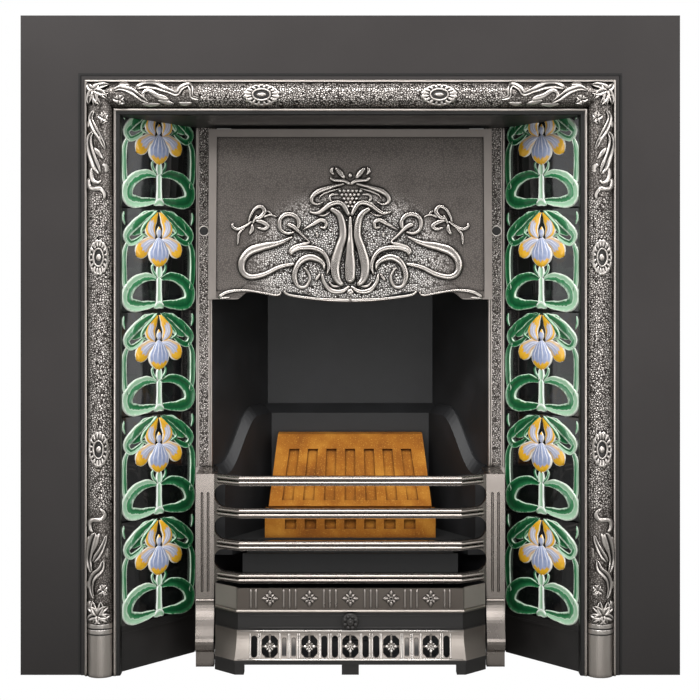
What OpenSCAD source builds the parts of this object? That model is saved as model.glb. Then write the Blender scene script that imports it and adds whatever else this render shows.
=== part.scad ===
// Cast iron register fireplace with two splayed tile panels.
// Working frame: X to the right, Y back into the chimney breast from the flat
// face of the surround, Z up from the hearth. Depths are counted along Y.
// Profiles are lists of [outward, height] or [depth, height] pairs.

/* [Surround] */
// Width of the flat border outside the moulding, fillet included
border_w = 94.5; // [70:0.5:120]
// Thickness of the flat border
border_t = 6; // [5:0.5:8]
// Depth of the rim that turns back round the border
rim_depth = 14; // [11:0.5:20]
// Thickness of that rim
rim_t = 6; // [4:0.5:8]
// Width of the dark fillet between border and moulding
fillet_w = 7; // [5:0.5:9]
// Width of the polished moulding
moulding_w = 46; // [42:1:52]
// Height of the moulding's crown above the border
moulding_rise = 18; // [14:0.5:22]
// Height of the moulding's edges above the border
moulding_edge = 5; // [4:0.5:7]
// Width of the bead along each edge of the moulding
moulding_bead = 4.5; // [3:0.5:6]
// Wall thickness of the hollow moulding
moulding_t = 5; // [4:0.5:6]
// Thickness of the return inside the moulding
return_t = 6; // [5:0.5:8]
// Depth of that return behind the face
return_depth = 14; // [10:0.5:18]
// Radius of the bolt bosses behind the moulding
boss_r = 7; // [6:0.5:8]

/* [Fixing lugs] */
// Height of a lug hole above the hearth, lower pair
lug_low_z = 220; // [150:5:300]
// Distance between the lower and the upper lug hole
lug_pitch = 500; // [400:10:550]
// Radius of a lug hole
lug_hole_r = 4.5; // [3.5:0.5:5.5]
// Depth of a lug behind the border
lug_depth = 34; // [32:1:45]
// Height of a lug
lug_h = 28; // [24:1:32]
// Thickness of a lug
lug_t = 7; // [5:0.5:10]

/* [Tiles and splay] */
// Edge length of a square tile
tile_size = 152.4; // [150:0.2:154]
// Thickness of a tile
tile_t = 9.5; // [7:0.5:12]
// Joint between two tiles
tile_joint = 2.5; // [1:0.5:4]
// Angle of the tile panels to the face
splay_angle = 50; // [46:1:54]
// Width of a tile hidden behind the return
tile_lap = 2.4; // [1:0.2:4]
// Height of the plain plinth under the tiles
plinth_h = 66.5; // [55:0.5:80]
// Height of a tile hidden above the soffit
tile_hidden = 20; // [12:1:28]
// Wall thickness of the tray behind the tiles
tray_t = 6; // [4:0.5:8]
// Clearance between loose flat pieces
fit = 0.5; // [0.2:0.1:0.8]

/* [Arch plate] */
// Clear width of the fire opening
fire_w = 426; // [410:1:440]
// Width of the column on each side of the opening
column_w = 26.4; // [24:0.2:32]
// Thickness of the arch plate
arch_t = 8; // [6:0.5:10]
// Height of the fire opening, hidden by the canopy
arch_open_h = 750; // [730:1:756]
// Radius of the beads along the columns
arch_bead_r = 2.2; // [1.5:0.1:3]
// Height of the visible pair of screws
screw_z = 651; // [600:1:700]
// Height of the hidden pair of screws
screw_low_z = 200; // [150:1:250]
// Radius of every screw and bolt shank
screw_r = 3; // [2.5:0.1:3.2]

/* [Canopy] */
// Width of the canopy
hood_w = 433; // [430:1:436]
// Height of the canopy at its corners
hood_h = 261; // [240:1:275]
// Thickness of the canopy's rim
hood_t = 7; // [6:0.5:9]
// Width of the canopy's rim
hood_rim = 12; // [8:0.5:16]
// Depth of the sunk panel inside the rim
hood_sink = 2.5; // [1.5:0.5:3.5]
// Forward lean of the canopy
hood_lean = 4; // [2:0.5:5]
// Radius of the rod that the canopy hangs on
rod_r = 3; // [2.5:0.1:3.2]

/* [Grate front] */
// Height of the ash opening under the bars
ash_open_h = 129; // [120:1:140]
// Height of a bar
bar_h = 13.8; // [12:0.2:16]
// Clear height between two bars
slot_h = 34.2; // [30:0.2:38]
// Depth of the bars' front faces behind the surround face
bar_d = 25; // [18:1:30]
// Thickness of the bars
bar_t = 10; // [8:0.5:13]
// Height of a bead on the bars
bar_bead = 3.2; // [2:0.1:3.4]
// Half the width of the bars before they cant back
bar_corner = 163.8; // [150:0.2:172]
// Depth of the pilaster faces
pilaster_d = 50; // [46:1:56]
// Width of a pilaster face
pilaster_w = 27; // [24:0.5:28]
// Wall thickness of the grate front
pilaster_t = 6; // [5:0.5:7]
// Projection of the foot scroll
scroll_rise = 11; // [8:0.5:13]

/* [Ash cover] */
// Height of the ash cover without its feet
cover_h = 110; // [100:1:112]
// Height of the feet
foot_h = 15; // [10:1:18]
// Depth of the cover's upper band
cover_d = 8; // [6:0.5:12]
// Half the width of the cover before it cants back
cover_corner = 166; // [155:1:172]
// Wall thickness of the cover
cover_t = 5; // [4:0.5:6]
// Projection of the flared base
cover_flare = 8.5; // [6:0.5:10]
// Width of a pierced slot
pierce_w = 9; // [6:0.5:11]
// Radius of the knob
knob_r = 12.5; // [9:0.5:14]

/* [Ash pan] */
// Width of the ash pan, which also sets how far back it goes
pan_w = 300; // [280:1:306]
// Height of the ash pan
pan_h = 52; // [35:1:70]
// Sheet thickness of the ash pan
pan_t = 2; // [1.5:0.5:3]

/* [Fire chamber] */
// Depth of the chamber's back wall behind the face
chamber_d = 285; // [280:1:300]
// Width of the chamber's back wall
chamber_back_w = 270; // [262:1:280]
// Thickness of the iron cheeks
cheek_t = 6; // [5:0.5:8]
// Thickness of the back plate
back_t = 8; // [6:0.5:10]
// Thickness of the lining on the back plate
back_lining_t = 20; // [16:1:22]
// Thickness of the lining on the cheeks
cheek_lining_t = 16; // [12:1:18]
// Height of the lining at the back
lining_high = 370; // [350:1:390]
// Height of the cheeks
cheek_h = 762; // [756:1:775]
// Thickness of the throat plate
throat_t = 8; // [6:0.5:10]
// Width of the flue opening
flue_w = 220; // [190:1:230]
// Depth of the flue opening
flue_depth = 78; // [60:1:82]
// Radius of the damper pin
pin_r = 4; // [3:0.2:5]

/* [Grate and brick] */
// Thickness of the bottom grate
grate_t = 10; // [8:0.5:12]
// Width of the bottom grate
grate_w = 320; // [300:1:330]
// Width of the gaps in the bottom grate
grate_gap = 12; // [9:0.5:14]
// Number of gaps in the bottom grate
grate_gaps = 11; // [9:1:11]
// Thickness of the back brick
brick_t = 28; // [24:1:30]
// Width of the back brick at its foot
brick_w = 256; // [246:1:260]
// Width of the back brick at its head
brick_head_w = 232; // [222:1:236]
// Height of the back brick
brick_h = 106; // [96:1:116]
// Height of the lower brick
brick_low_h = 42; // [38:1:48]
// Width of the lower brick
brick_low_w = 267; // [262:1:272]
// Number of flutes in the back brick
brick_flutes = 7; // [6:1:7]

/* [Hidden] */
$fn = 48;

eps = 0.01;
clear = 0.3;
thread_gap = 0.05;
run_gap = 0.1;
tile_rows = 5;
bar_count = 4;

// Widths, worked out from the fire opening to the border
half_fire = fire_w / 2;
arch_half = half_fire + column_w;
tile_gap = 1;
tile_inner_x = arch_half + tile_gap;
tile_outer_x = tile_inner_x + tile_size * cos(splay_angle);
opening_half = tile_outer_x - tile_lap;
moulding_in = opening_half + return_t;
moulding_out = moulding_in + moulding_w;
surround_w = 2 * (moulding_out + border_w);

// Depths, worked out from the face to the arch plate
tile_set = 2;
tile_tuck = 0.6;
tile_front_d = return_depth + tile_set;
arch_d = tile_front_d + tile_size * sin(splay_angle) - tile_tuck;
arch_back_d = arch_d + arch_t;
cheek_d = arch_back_d + tray_t;

// Heights, worked out from the hearth to the soffit
tile_pitch = tile_size + tile_joint;
tile_top = plinth_h + tile_rows * tile_size + (tile_rows - 1) * tile_joint;
opening_h = tile_top - tile_hidden;
surround_h = opening_h + return_t + moulding_w + border_w;
moulding_mid = moulding_in + moulding_w / 2;
top_mid_z = opening_h + return_t + moulding_w / 2;
shelf_z = ash_open_h + bar_count * bar_h + (bar_count - 1) * slot_h;
tray_rise = 6;
tray_h = tile_top + tray_rise;

// The origin is under the middle of the whole object's box
overall_depth = chamber_d + back_t + moulding_rise;
origin_d = overall_depth / 2 - moulding_rise;

// Colours
iron_black = "#3a3735";
iron_bright = "#9b938d";
steel = "#b4b4b2";
clay = "#b8742a";
glaze = "#2f7a54";
sheet = "#55585a";

// Put a drawn piece on the part's own origin
module place() translate([0, -origin_d, 0]) children();

// Repeat a piece on both sides
module both_sides() {
    children();
    mirror([1, 0, 0]) children();
}

// Cylinder along Y from depth d0 to depth d1
module rod_y(x, z, d0, d1, r) {
    translate([x, d0, z]) rotate([-90, 0, 0]) cylinder(h = d1 - d0, r = r);
}

// Cylinder along X from x0 to x1
module rod_x(d, z, x0, x1, r) {
    translate([x0, d, z]) rotate([0, 90, 0]) cylinder(h = x1 - x0, r = r);
}

// Hexagonal prism along Y, key is the size across flats
module hex_y(x, z, d0, d1, key) {
    translate([x, d0, z]) rotate([-90, 0, 0]) cylinder(h = d1 - d0, r = key / sqrt(3), $fn = 6);
}

// Slot cutter along Y with round ends above and below
module obround_y(x, z0, z1, w, d0, d1) {
    r = w / 2;
    translate([x - r, d0, z0 + r]) cube([w, d1 - d0, z1 - z0 - w]);
    rod_y(x, z0 + r, d0, d1, r);
    rod_y(x, z1 - r, d0, d1, r);
}

// Outline in X and Z, pushed back from depth d0 to depth d1
module slab_y(points, d0, d1) {
    translate([0, d1, 0]) rotate([90, 0, 0]) linear_extrude(d1 - d0) polygon(points);
}

// Outline in depth and Z, drawn out from x0 to x1
module slab_x(points, x0, x1) {
    translate([x0, 0, 0]) rotate([90, 0, 90]) linear_extrude(x1 - x0) polygon(points);
}

// Closed skin through rings of equally many points
module skin(rings) {
    n = len(rings[0]);
    m = len(rings);
    sides = [for (i = [0:m - 2]) for (j = [0:n - 1])
        for (f = [[i * n + j, (i + 1) * n + (j + 1) % n, (i + 1) * n + j],
                  [i * n + j, i * n + (j + 1) % n, (i + 1) * n + (j + 1) % n]]) f];
    first = [for (j = [n - 1:-1:0]) j];
    last = [for (j = [0:n - 1]) (m - 1) * n + j];
    polyhedron([for (r = rings) each r], concat(sides, [first, last]));
}

function arc(cx, cy, r, a0, a1, n) =
    [for (i = [0:n]) [cx + r * cos(a0 + (a1 - a0) * i / n), cy + r * sin(a0 + (a1 - a0) * i / n)]];
function ease(t) = (1 - cos(180 * t)) / 2;
function mirrored(points) = [for (i = [len(points) - 1:-1:0]) [-points[i][0], points[i][1]]];

// A canted front in plan: left end, left corner, right corner, right end
function canted(end_x, end_d, corner_x, front_d) =
    [[-end_x, end_d], [-corner_x, front_d], [corner_x, front_d], [end_x, end_d]];
// Half the angle through which the front turns at a corner
function cant_half(p) = atan((p[3][1] - p[2][1]) / (p[3][0] - p[2][0])) / 2;
// Point of a canted front moved outward by o at station i
function cant_point(p, i, o) =
    let (h = cant_half(p), s = i < 2 ? -1 : 1)
    i == 1 || i == 2 ? [p[i][0] + s * o * tan(h), p[i][1] - o]
                     : [p[i][0] + s * o * sin(2 * h), p[i][1] - o * cos(2 * h)];
function cant_ring(p, i, profile) =
    [for (q = profile) let (c = cant_point(p, i, q[0])) [c[0], c[1], q[1]]];
function cant_strip(p, outer, inner) =
    concat([for (i = [0:3]) cant_point(p, i, outer)], [for (i = [3:-1:0]) cant_point(p, i, inner)]);

// ---- Surround casting ----

// Moulding section in [distance from the opening, depth]
section_w = return_t + moulding_w + fillet_w;
field_half = moulding_w / 2 - moulding_bead;
field_rise = moulding_rise - moulding_edge;
field_r = (field_half * field_half + field_rise * field_rise) / (2 * field_rise);
field_d = field_r - moulding_rise;
field_s = return_t + moulding_w / 2;
field_angle = asin(field_half / field_r);
hollow_r = field_r - moulding_t;
edge_round = 3;
fillet_proud = 2;
bead_half = moulding_bead / 2;
moulding_section = concat(
    [[0, return_depth]],
    arc(edge_round, edge_round - moulding_edge, edge_round, 180, 270, 5),
    arc(return_t + bead_half, -moulding_edge, bead_half, 180, 360, 8),
    arc(field_s, field_d, field_r, 270 - field_angle, 270 + field_angle, 18),
    arc(return_t + moulding_w - bead_half, -moulding_edge, bead_half, 180, 360, 8),
    [[return_t + moulding_w, -fillet_proud], [section_w - fillet_proud, -fillet_proud], [section_w, 0],
     [section_w, border_t], [field_s + hollow_r + moulding_t - 1, border_t]],
    arc(field_s, field_d, hollow_r, 360, 180, 16),
    [[return_t, field_d], [return_t, return_depth]]);

frame_bolt_z = [150, 450, 740];
soffit_bolt_x = 150;
flange_gap = 4;
flange_d = return_depth + flange_gap;
boss_top_d = 4 - moulding_rise;
bolt_hole_r = screw_r + clear;
bolt_depth = 12;
lug_inset = 12;
lug_x = moulding_out + fillet_w + lug_inset;
lug_hole_d = border_t + lug_depth - lug_h / 2;

// One side of the moulding, drawn from the opening's corner and mitred there
module moulding_side() {
    far = section_w + 1;
    translate([opening_half, 0, opening_h]) {
        intersection() {
            translate([0, 0, -opening_h]) linear_extrude(opening_h + far) polygon(moulding_section);
            slab_y([[-1, -opening_h - 1], [far, -opening_h - 1], [far, far], [-1, -1]],
                   -2 * moulding_rise, 2 * return_depth);
        }
        intersection() {
            translate([far, 0, 0]) rotate([0, -90, 0])
                linear_extrude(opening_half + far + 1) polygon(moulding_section);
            slab_y([[-opening_half - 2, -1], [-1, -1], [far, far], [-opening_half - 2, far]],
                   -2 * moulding_rise, 2 * return_depth);
        }
    }
}

module border() {
    inner_x = opening_half + section_w - eps;
    inner_z = opening_h + section_w - eps;
    difference() {
        translate([-surround_w / 2, 0, 0]) cube([surround_w, rim_depth, surround_h]);
        translate([-inner_x, -1, -1]) cube([2 * inner_x, rim_depth + 2, inner_z + 1]);
        translate([rim_t - surround_w / 2, border_t, -1])
            cube([surround_w - 2 * rim_t, rim_depth, surround_h + 1 - rim_t]);
    }
}

module fixing_lug(z) {
    difference() {
        union() {
            translate([lug_x, border_t - 1, z - lug_h / 2])
                cube([lug_t, lug_hole_d - border_t + 1, lug_h]);
            rod_x(lug_hole_d, z, lug_x, lug_x + lug_t, lug_h / 2);
        }
        rod_x(lug_hole_d, z, lug_x - 1, lug_x + lug_t + 1, lug_hole_r);
    }
}

module surround_frame() {
    color(iron_bright) place() difference() {
        union() {
            border();
            both_sides() {
                moulding_side();
                for (z = frame_bolt_z) rod_y(moulding_mid, z, boss_top_d, flange_d, boss_r);
                rod_y(soffit_bolt_x, top_mid_z, boss_top_d, return_depth, boss_r);
                for (z = [lug_low_z, lug_low_z + lug_pitch]) fixing_lug(z);
            }
        }
        both_sides() {
            for (z = frame_bolt_z) rod_y(moulding_mid, z, flange_d - bolt_depth, flange_d + 1, bolt_hole_r);
            rod_y(soffit_bolt_x, top_mid_z, return_depth - bolt_depth, return_depth + 1, bolt_hole_r);
        }
    }
}

// ---- Soffit over the tiles ----

soffit_t = 5;
soffit_fall = 8;
soffit_rear_z = opening_h - soffit_fall;
soffit_flange_z = top_mid_z + 12;

function splay_x(d) = tile_outer_x - (d - tile_front_d) / tan(splay_angle) - fit / sin(splay_angle);

module top_soffit() {
    color(iron_black) place() difference() {
        intersection() {
            slab_x([[return_depth, opening_h], [return_depth, soffit_flange_z],
                    [return_depth + soffit_t, soffit_flange_z],
                    [return_depth + soffit_t, opening_h + soffit_t],
                    [arch_d - soffit_t, soffit_rear_z + soffit_t], [arch_d - soffit_t, tray_h - 4],
                    [arch_d, tray_h - 4], [arch_d, soffit_rear_z]], -surround_w / 2, surround_w / 2);
            linear_extrude(surround_h)
                polygon([[-splay_x(0), 0], [splay_x(0), 0], [splay_x(arch_d + 1), arch_d + 1],
                         [-splay_x(arch_d + 1), arch_d + 1]]);
        }
        both_sides()
            rod_y(soffit_bolt_x, top_mid_z, return_depth - 1, return_depth + soffit_t + 1, bolt_hole_r);
    }
}

// ---- Splayed tile panels ----

column_mid = half_fire + column_w / 2;
tray_lap = 4;
front_flange_w = 4.6 * boss_r;
plinth_line_h = 4;

// Local X runs back along the tile faces, local Y towards the room
module splay() {
    translate([tile_outer_x, tile_front_d, 0]) rotate([0, 0, 180 - splay_angle]) children();
}

module tray_plan() {
    splay() translate([-tray_lap, -tile_t - tray_t]) square([tile_size + 2 * tray_lap + fit, tray_t]);
    translate([moulding_mid - front_flange_w / 2, flange_d]) square([front_flange_w, tray_t]);
    translate([half_fire + 1, arch_back_d]) square([column_w + tile_gap + boss_r, tray_t]);
}

module tile_tray() {
    color(iron_black) place() difference() {
        union() {
            linear_extrude(tray_h) tray_plan();
            splay() translate([0, -tile_t - eps, 0]) cube([tile_size, tile_t + eps, plinth_h]);
            splay() translate([2, -1, plinth_h - 3 * plinth_line_h])
                cube([tile_size - 4, 2.2, plinth_line_h]);
        }
        for (z = frame_bolt_z) rod_y(moulding_mid, z, flange_d - 1, flange_d + tray_t + 1, bolt_hole_r);
        for (z = [screw_z, screw_low_z]) rod_y(column_mid, z, arch_back_d - 1, cheek_d + 1, bolt_hole_r);
    }
}

module left_tile_tray() mirror([1, 0, 0]) tile_tray();
module right_tile_tray() tile_tray();

// Tile number row counts from the bottom
module tile(row) {
    edge = 1;
    color(glaze) place() splay() translate([0, 0, plinth_h + (row - 1) * tile_pitch])
        linear_extrude(tile_size)
        polygon([[0, -tile_t], [tile_size, -tile_t], [tile_size, -edge], [tile_size - edge, 0],
                 [edge, 0], [0, -edge]]);
}

module left_tile(row) mirror([1, 0, 0]) tile(row);
module right_tile(row) tile(row);

// ---- Arch plate, its screws and the frame bolts ----

arch_round = 40;
head_r = 7;
head_h = head_r - screw_r;
head_sunk = 0.2;
flange_t = 6;
nut_h = 5;
nut_key = 10;
hex_head_h = 4;
shank_sink = 1;
flange_w = column_w - 3;
screw_end_d = cheek_d + flange_t + nut_h + 2;

module arch_plate() {
    color(iron_bright) place() difference() {
        union() {
            translate([-arch_half, arch_d, 0]) cube([2 * arch_half, arch_t, tray_h]);
            both_sides() for (x = [half_fire + arch_bead_r, arch_half - arch_bead_r])
                translate([x, arch_d, shelf_z + fit])
                    cylinder(h = soffit_rear_z - shelf_z - 2 * fit, r = arch_bead_r);
        }
        translate([-half_fire, arch_d - 1, -1]) cube([fire_w, arch_t + 2, arch_open_h - arch_round + 1]);
        translate([arch_round - half_fire, arch_d - 1, -1])
            cube([fire_w - 2 * arch_round, arch_t + 2, arch_open_h + 1]);
        both_sides() {
            rod_y(half_fire - arch_round, arch_open_h - arch_round, arch_d - 1, arch_back_d + 1, arch_round);
            for (z = [screw_z, screw_low_z]) {
                rod_y(column_mid, z, arch_d - 1, arch_back_d + 1, bolt_hole_r);
                translate([column_mid, arch_d - eps, z]) rotate([-90, 0, 0])
                    cylinder(h = head_h + head_sunk, r1 = head_r + clear, r2 = bolt_hole_r);
            }
        }
    }
}

module column_screw(z) {
    slot_w = 1.4;
    translate([column_mid, arch_d + head_sunk, z]) difference() {
        rotate([-90, 0, 0]) union() {
            cylinder(h = head_h, r1 = head_r, r2 = screw_r);
            cylinder(h = screw_end_d - arch_d - head_sunk, r = screw_r);
        }
        translate([-head_r - 1, -1, -slot_w / 2]) cube([2 * head_r + 2, 2.2, slot_w]);
    }
}

module column_screws() {
    color(steel) place() both_sides() for (z = [screw_z, screw_low_z]) column_screw(z);
}

module column_nuts() {
    color(steel) place() both_sides() for (z = [screw_z, screw_low_z]) difference() {
        hex_y(column_mid, z, cheek_d + flange_t, cheek_d + flange_t + nut_h, nut_key);
        rod_y(column_mid, z, cheek_d, screw_end_d, screw_r + thread_gap);
    }
}

// Bolt with its head behind a flange at depth seat_d and its shank running forward
module bolt_back(x, z, seat_d, shank) {
    hex_y(x, z, seat_d, seat_d + hex_head_h, nut_key);
    rod_y(x, z, seat_d - shank, seat_d + shank_sink, screw_r);
}

module frame_bolts() {
    grip = bolt_depth - 2;
    color(steel) place() both_sides() {
        for (z = frame_bolt_z) bolt_back(moulding_mid, z, flange_d + tray_t, tray_t + grip);
        bolt_back(soffit_bolt_x, top_mid_z, return_depth + soffit_t, soffit_t + grip);
    }
}

// ---- Canopy ----

hood_play = 4.5;
rod_drop = 16;
rod_set = 6;
hood_top = soffit_rear_z - hood_play;
rod_d = arch_d - rod_set;
rod_z = hood_top - rod_drop;
hood_back = 8;
ear_x = 170;
ear_w = 6;
ear_r = 5.2;
hook_x = 184;
hook_w = 22;
wing_t = 5;

// Lower edge from the right corner to the middle, raised by m
step_x = 0.4 * hood_w;
crest_x = 0.36 * hood_w;
cusp_x = 0.238 * hood_w;
cusp_w = 4;
crest_h = 10.5;
cusp_h = 12;
dip_h = 4;
function hood_edge(m) = concat(
    [[hood_w / 2 - m, m]],
    [for (i = [0:6]) [step_x + (crest_x - step_x) * i / 6, m + crest_h * ease(i / 6)]],
    [for (i = [1:6]) [crest_x + (cusp_x + cusp_w - crest_x) * i / 6, m + crest_h * (1 - ease(i / 6) / 2)]],
    [for (i = [0:11]) [cusp_x * (1 - i / 12), m + cusp_h - (cusp_h + dip_h) * ease(i / 12)]]);
function hood_outline(m) = concat(
    [for (p = hood_edge(m)) [p[0], p[1] - hood_h]], [[0, m - dip_h - hood_h]],
    [for (p = mirrored(hood_edge(m))) [p[0], p[1] - hood_h]],
    [[m - hood_w / 2, -m], [hood_w / 2 - m, -m]]);

// Local Y and Z at the rod, leaning with the canopy
module at_rod() translate([0, rod_d, rod_z]) rotate([-hood_lean, 0, 0]) children();

function hood_rear_d(z) = rod_d - hood_back + (z - rod_z) * tan(hood_lean);

module hood() {
    top = hood_top - rod_z;
    wing_low = hood_top - hood_h + 6;
    wing_high = rod_z - 18;
    wing_d = arch_d - arch_bead_r - clear;
    color(iron_bright) place() difference() {
        union() {
            at_rod() translate([0, 0, top]) difference() {
                slab_y(hood_outline(0), -hood_back - hood_t, -hood_back);
                slab_y(hood_outline(hood_rim), -hood_back - hood_t - 1, hood_sink - hood_back - hood_t);
            }
            both_sides() {
                slab_x([[hood_rear_d(wing_low) - 2, wing_low], [wing_d, wing_low],
                        [wing_d, wing_high], [hood_rear_d(wing_high) - 2, wing_high]],
                       hood_w / 2 - wing_t, hood_w / 2);
                at_rod() {
                    translate([ear_x, -hood_back - 1, -ear_r]) cube([ear_w, hood_back + 1, 2 * ear_r]);
                    rod_x(0, 0, ear_x, ear_x + ear_w, ear_r);
                }
            }
        }
        rod_x(rod_d, rod_z, -hood_w / 2 + wing_t, hood_w / 2 - wing_t, rod_r + thread_gap);
    }
}

module hood_rod() {
    half = hook_x + hook_w + 2;
    color(steel) place() rod_x(rod_d, rod_z, -half, half, rod_r);
}

module hood_hooks() {
    bore = rod_r + clear;
    wall = 2.2;
    plate = 2.5;
    color(steel) place() both_sides() translate([hook_x, 0, 0]) rotate([90, 0, 90])
        linear_extrude(hook_w) difference() {
            union() {
                intersection() {
                    translate([rod_d, rod_z]) circle(bore + wall);
                    translate([rod_d - 10, rod_z - 10]) square([16, 11]);
                }
                translate([arch_d - plate, rod_z - 12]) square([plate, soffit_rear_z - rod_z + 11]);
            }
            translate([rod_d, rod_z]) circle(bore);
        }
}

// ---- Grate front with bars and pilasters ----

pilaster_lap = 9.5;
pilaster_in = half_fire - pilaster_lap;
pilaster_out = pilaster_in + pilaster_w;
bar_slope = (pilaster_d - bar_d) / (pilaster_in - bar_corner);
bar_pitch = bar_h + slot_h;
grate_floor_z = ash_open_h + bar_h;
front_t = 10;
bar_inner_d = bar_d + bar_t;
bar_end = 6;
bead_share = [0.27, 0.73];
flute_low_z = 112;
flute_high_z = 258;
flute_r = 1.9;
pilaster_bead_z = 98;
pilaster_bead_r = 2.4;
scroll_top = 91;
scroll_low = 22;
foot_rise = 4;

function bar_path(end_x) =
    canted(end_x, bar_d + (end_x - bar_corner) * bar_slope, bar_corner, bar_d);

// Scroll of a pilaster's foot, from its top down: a long hollow and a round belly
function scroll_out(t) = foot_rise * t + scroll_rise * sin(180 * pow(t, 2.6));
scroll_profile = concat(
    [[pilaster_d + 1, scroll_top]],
    [for (i = [0:16]) [pilaster_d - scroll_out(i / 16), scroll_top + (scroll_low - scroll_top) * i / 16]],
    [[pilaster_d - foot_rise, 0], [pilaster_d + 1, 0]]);

module bar_bead(z) {
    path = bar_path(pilaster_in - bar_end);
    profile = concat([[-1, z - bar_bead]], arc(0, z, bar_bead, -90, 90, 8), [[-1, z + bar_bead]]);
    skin([for (i = [0:3]) cant_ring(path, i, profile)]);
}

module bars() {
    corner_r = 10;
    path = bar_path(pilaster_in + bar_end);
    half_slot = pilaster_in - slot_h / 2;
    difference() {
        translate([0, 0, ash_open_h]) linear_extrude(shelf_z - ash_open_h)
            polygon(cant_strip(path, 0, -bar_t));
        for (i = [0:bar_count - 2]) {
            z = ash_open_h + bar_h + i * bar_pitch;
            translate([-half_slot, 0, z]) cube([2 * half_slot, pilaster_d + 2 * front_t, slot_h]);
            both_sides() rod_y(half_slot, z + slot_h / 2, 0, pilaster_d + 2 * front_t, slot_h / 2);
        }
    }
    both_sides() difference() {
        intersection() {
            translate([0, 0, ash_open_h - corner_r]) linear_extrude(corner_r + 1)
                polygon(cant_strip(path, 0, -bar_t));
            translate([pilaster_in - corner_r, 0, 0]) cube([corner_r + 3, 2 * pilaster_d, shelf_z]);
        }
        rod_y(pilaster_in - corner_r, ash_open_h - corner_r, 0, 2 * pilaster_d, corner_r);
    }
    for (i = [0:bar_count - 1]) for (k = bead_share) bar_bead(ash_open_h + i * bar_pitch + k * bar_h);
}

module pilaster() {
    difference() {
        union() {
            translate([pilaster_in, pilaster_d, 0]) cube([pilaster_w, front_t, shelf_z]);
            translate([pilaster_out - pilaster_t, pilaster_d, 0])
                cube([pilaster_t, arch_d - pilaster_d, shelf_z]);
            translate([half_fire, pilaster_d, 0]) cube([pilaster_t, arch_d - pilaster_d, shelf_z]);
            translate([pilaster_in, pilaster_d, shelf_z - pilaster_t])
                cube([pilaster_w, arch_d - pilaster_d, pilaster_t]);
            rod_x(pilaster_d, pilaster_bead_z, pilaster_in, pilaster_out, pilaster_bead_r);
            slab_x(scroll_profile, pilaster_in, pilaster_out);
        }
        for (x = [pilaster_in + pilaster_w / 3, pilaster_out - pilaster_w / 3])
            translate([x, pilaster_d, flute_low_z]) {
                cylinder(h = flute_high_z - flute_low_z, r = flute_r);
                sphere(r = flute_r);
                translate([0, 0, flute_high_z - flute_low_z]) sphere(r = flute_r);
            }
    }
}

module grate_front() {
    ledge_t = 7;
    ledge_w = grate_w - 20;
    ledge_d = 14;
    color(iron_bright) place() {
        bars();
        both_sides() pilaster();
        translate([-ledge_w / 2, bar_inner_d - 1, grate_floor_z - ledge_t])
            cube([ledge_w, ledge_d, ledge_t]);
    }
}

// ---- Bottom grate and its bearer ----

grate_rear_d = cheek_d + 3;
grate_front_d = bar_inner_d + 2;
grate_rim = 10;
grate_rear_rim = 20;
grate_lip_h = 28;
grate_lip_t = 5;
bearer_d = cheek_d + 4;
bearer_web = 8;
bearer_rise = 17;
bearer_z = grate_floor_z + bearer_rise;
bearer_t = 12;
brick_foot_z = bearer_z + bearer_t;
ledge_proud = 10;
lining_d = chamber_d - back_lining_t;

// Clear half width of the chamber at depth d, inside a lining t thick
cheek_slope = (half_fire - chamber_back_w / 2) / (chamber_d - cheek_d);
cheek_sec = sqrt(1 + cheek_slope * cheek_slope);
function cheek_x(d, t) = half_fire - (d - cheek_d) * cheek_slope - t * cheek_sec;

module bottom_grate() {
    gap_pitch = grate_w / (grate_gaps + 1);
    slot_d0 = grate_front_d + grate_lip_t + grate_rim;
    color(iron_black) place() translate([0, 0, grate_floor_z]) {
        difference() {
            translate([-grate_w / 2, grate_front_d, 0])
                cube([grate_w, grate_rear_d - grate_front_d, grate_t]);
            for (i = [1:grate_gaps])
                translate([-grate_w / 2 + i * gap_pitch - grate_gap / 2, slot_d0, -1])
                    cube([grate_gap, grate_rear_d - grate_rear_rim - slot_d0, grate_t + 2]);
        }
        translate([-grate_w / 2, grate_front_d, grate_t - eps])
            cube([grate_w, grate_lip_t, grate_lip_h - grate_t]);
    }
}

module brick_bearer() {
    low_z = grate_floor_z - bearer_web;
    step_d = grate_rear_d - 12;
    x0 = cheek_x(bearer_d, cheek_lining_t) - fit;
    x1 = cheek_x(lining_d, cheek_lining_t) - fit;
    color(iron_black) place() {
        translate([0, 0, bearer_z]) linear_extrude(bearer_t)
            polygon([[-x0, bearer_d], [x0, bearer_d], [x1, lining_d], [-x1, lining_d]]);
        slab_x([[step_d, low_z], [bearer_d + bearer_web, low_z], [bearer_d + bearer_web, bearer_z + 1],
                [bearer_d, bearer_z + 1], [bearer_d, grate_floor_z], [step_d, grate_floor_z]],
               -brick_low_w / 2, brick_low_w / 2);
    }
}

// ---- Clay bricks ----

brick_low_d = bearer_d + bearer_web + 2;
brick_low_t = 36;
brick_tongue = 5.5;
tongue_set = 4;
brick_seat_z = brick_foot_z + brick_low_h + brick_tongue;
brick_step = 12;
brick_d = brick_low_d + brick_step;
flute_share = 0.27;
// The brick's upper back edge leans on the lining
brick_room = lining_d - clear - brick_d;
brick_lean = acos(brick_t / norm([brick_room, brick_h])) - atan(brick_h / brick_room);
brick_run = brick_t / cos(brick_lean);
panel_sink = 5;
flute_foot = 10;
flute_head = 22;

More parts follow.
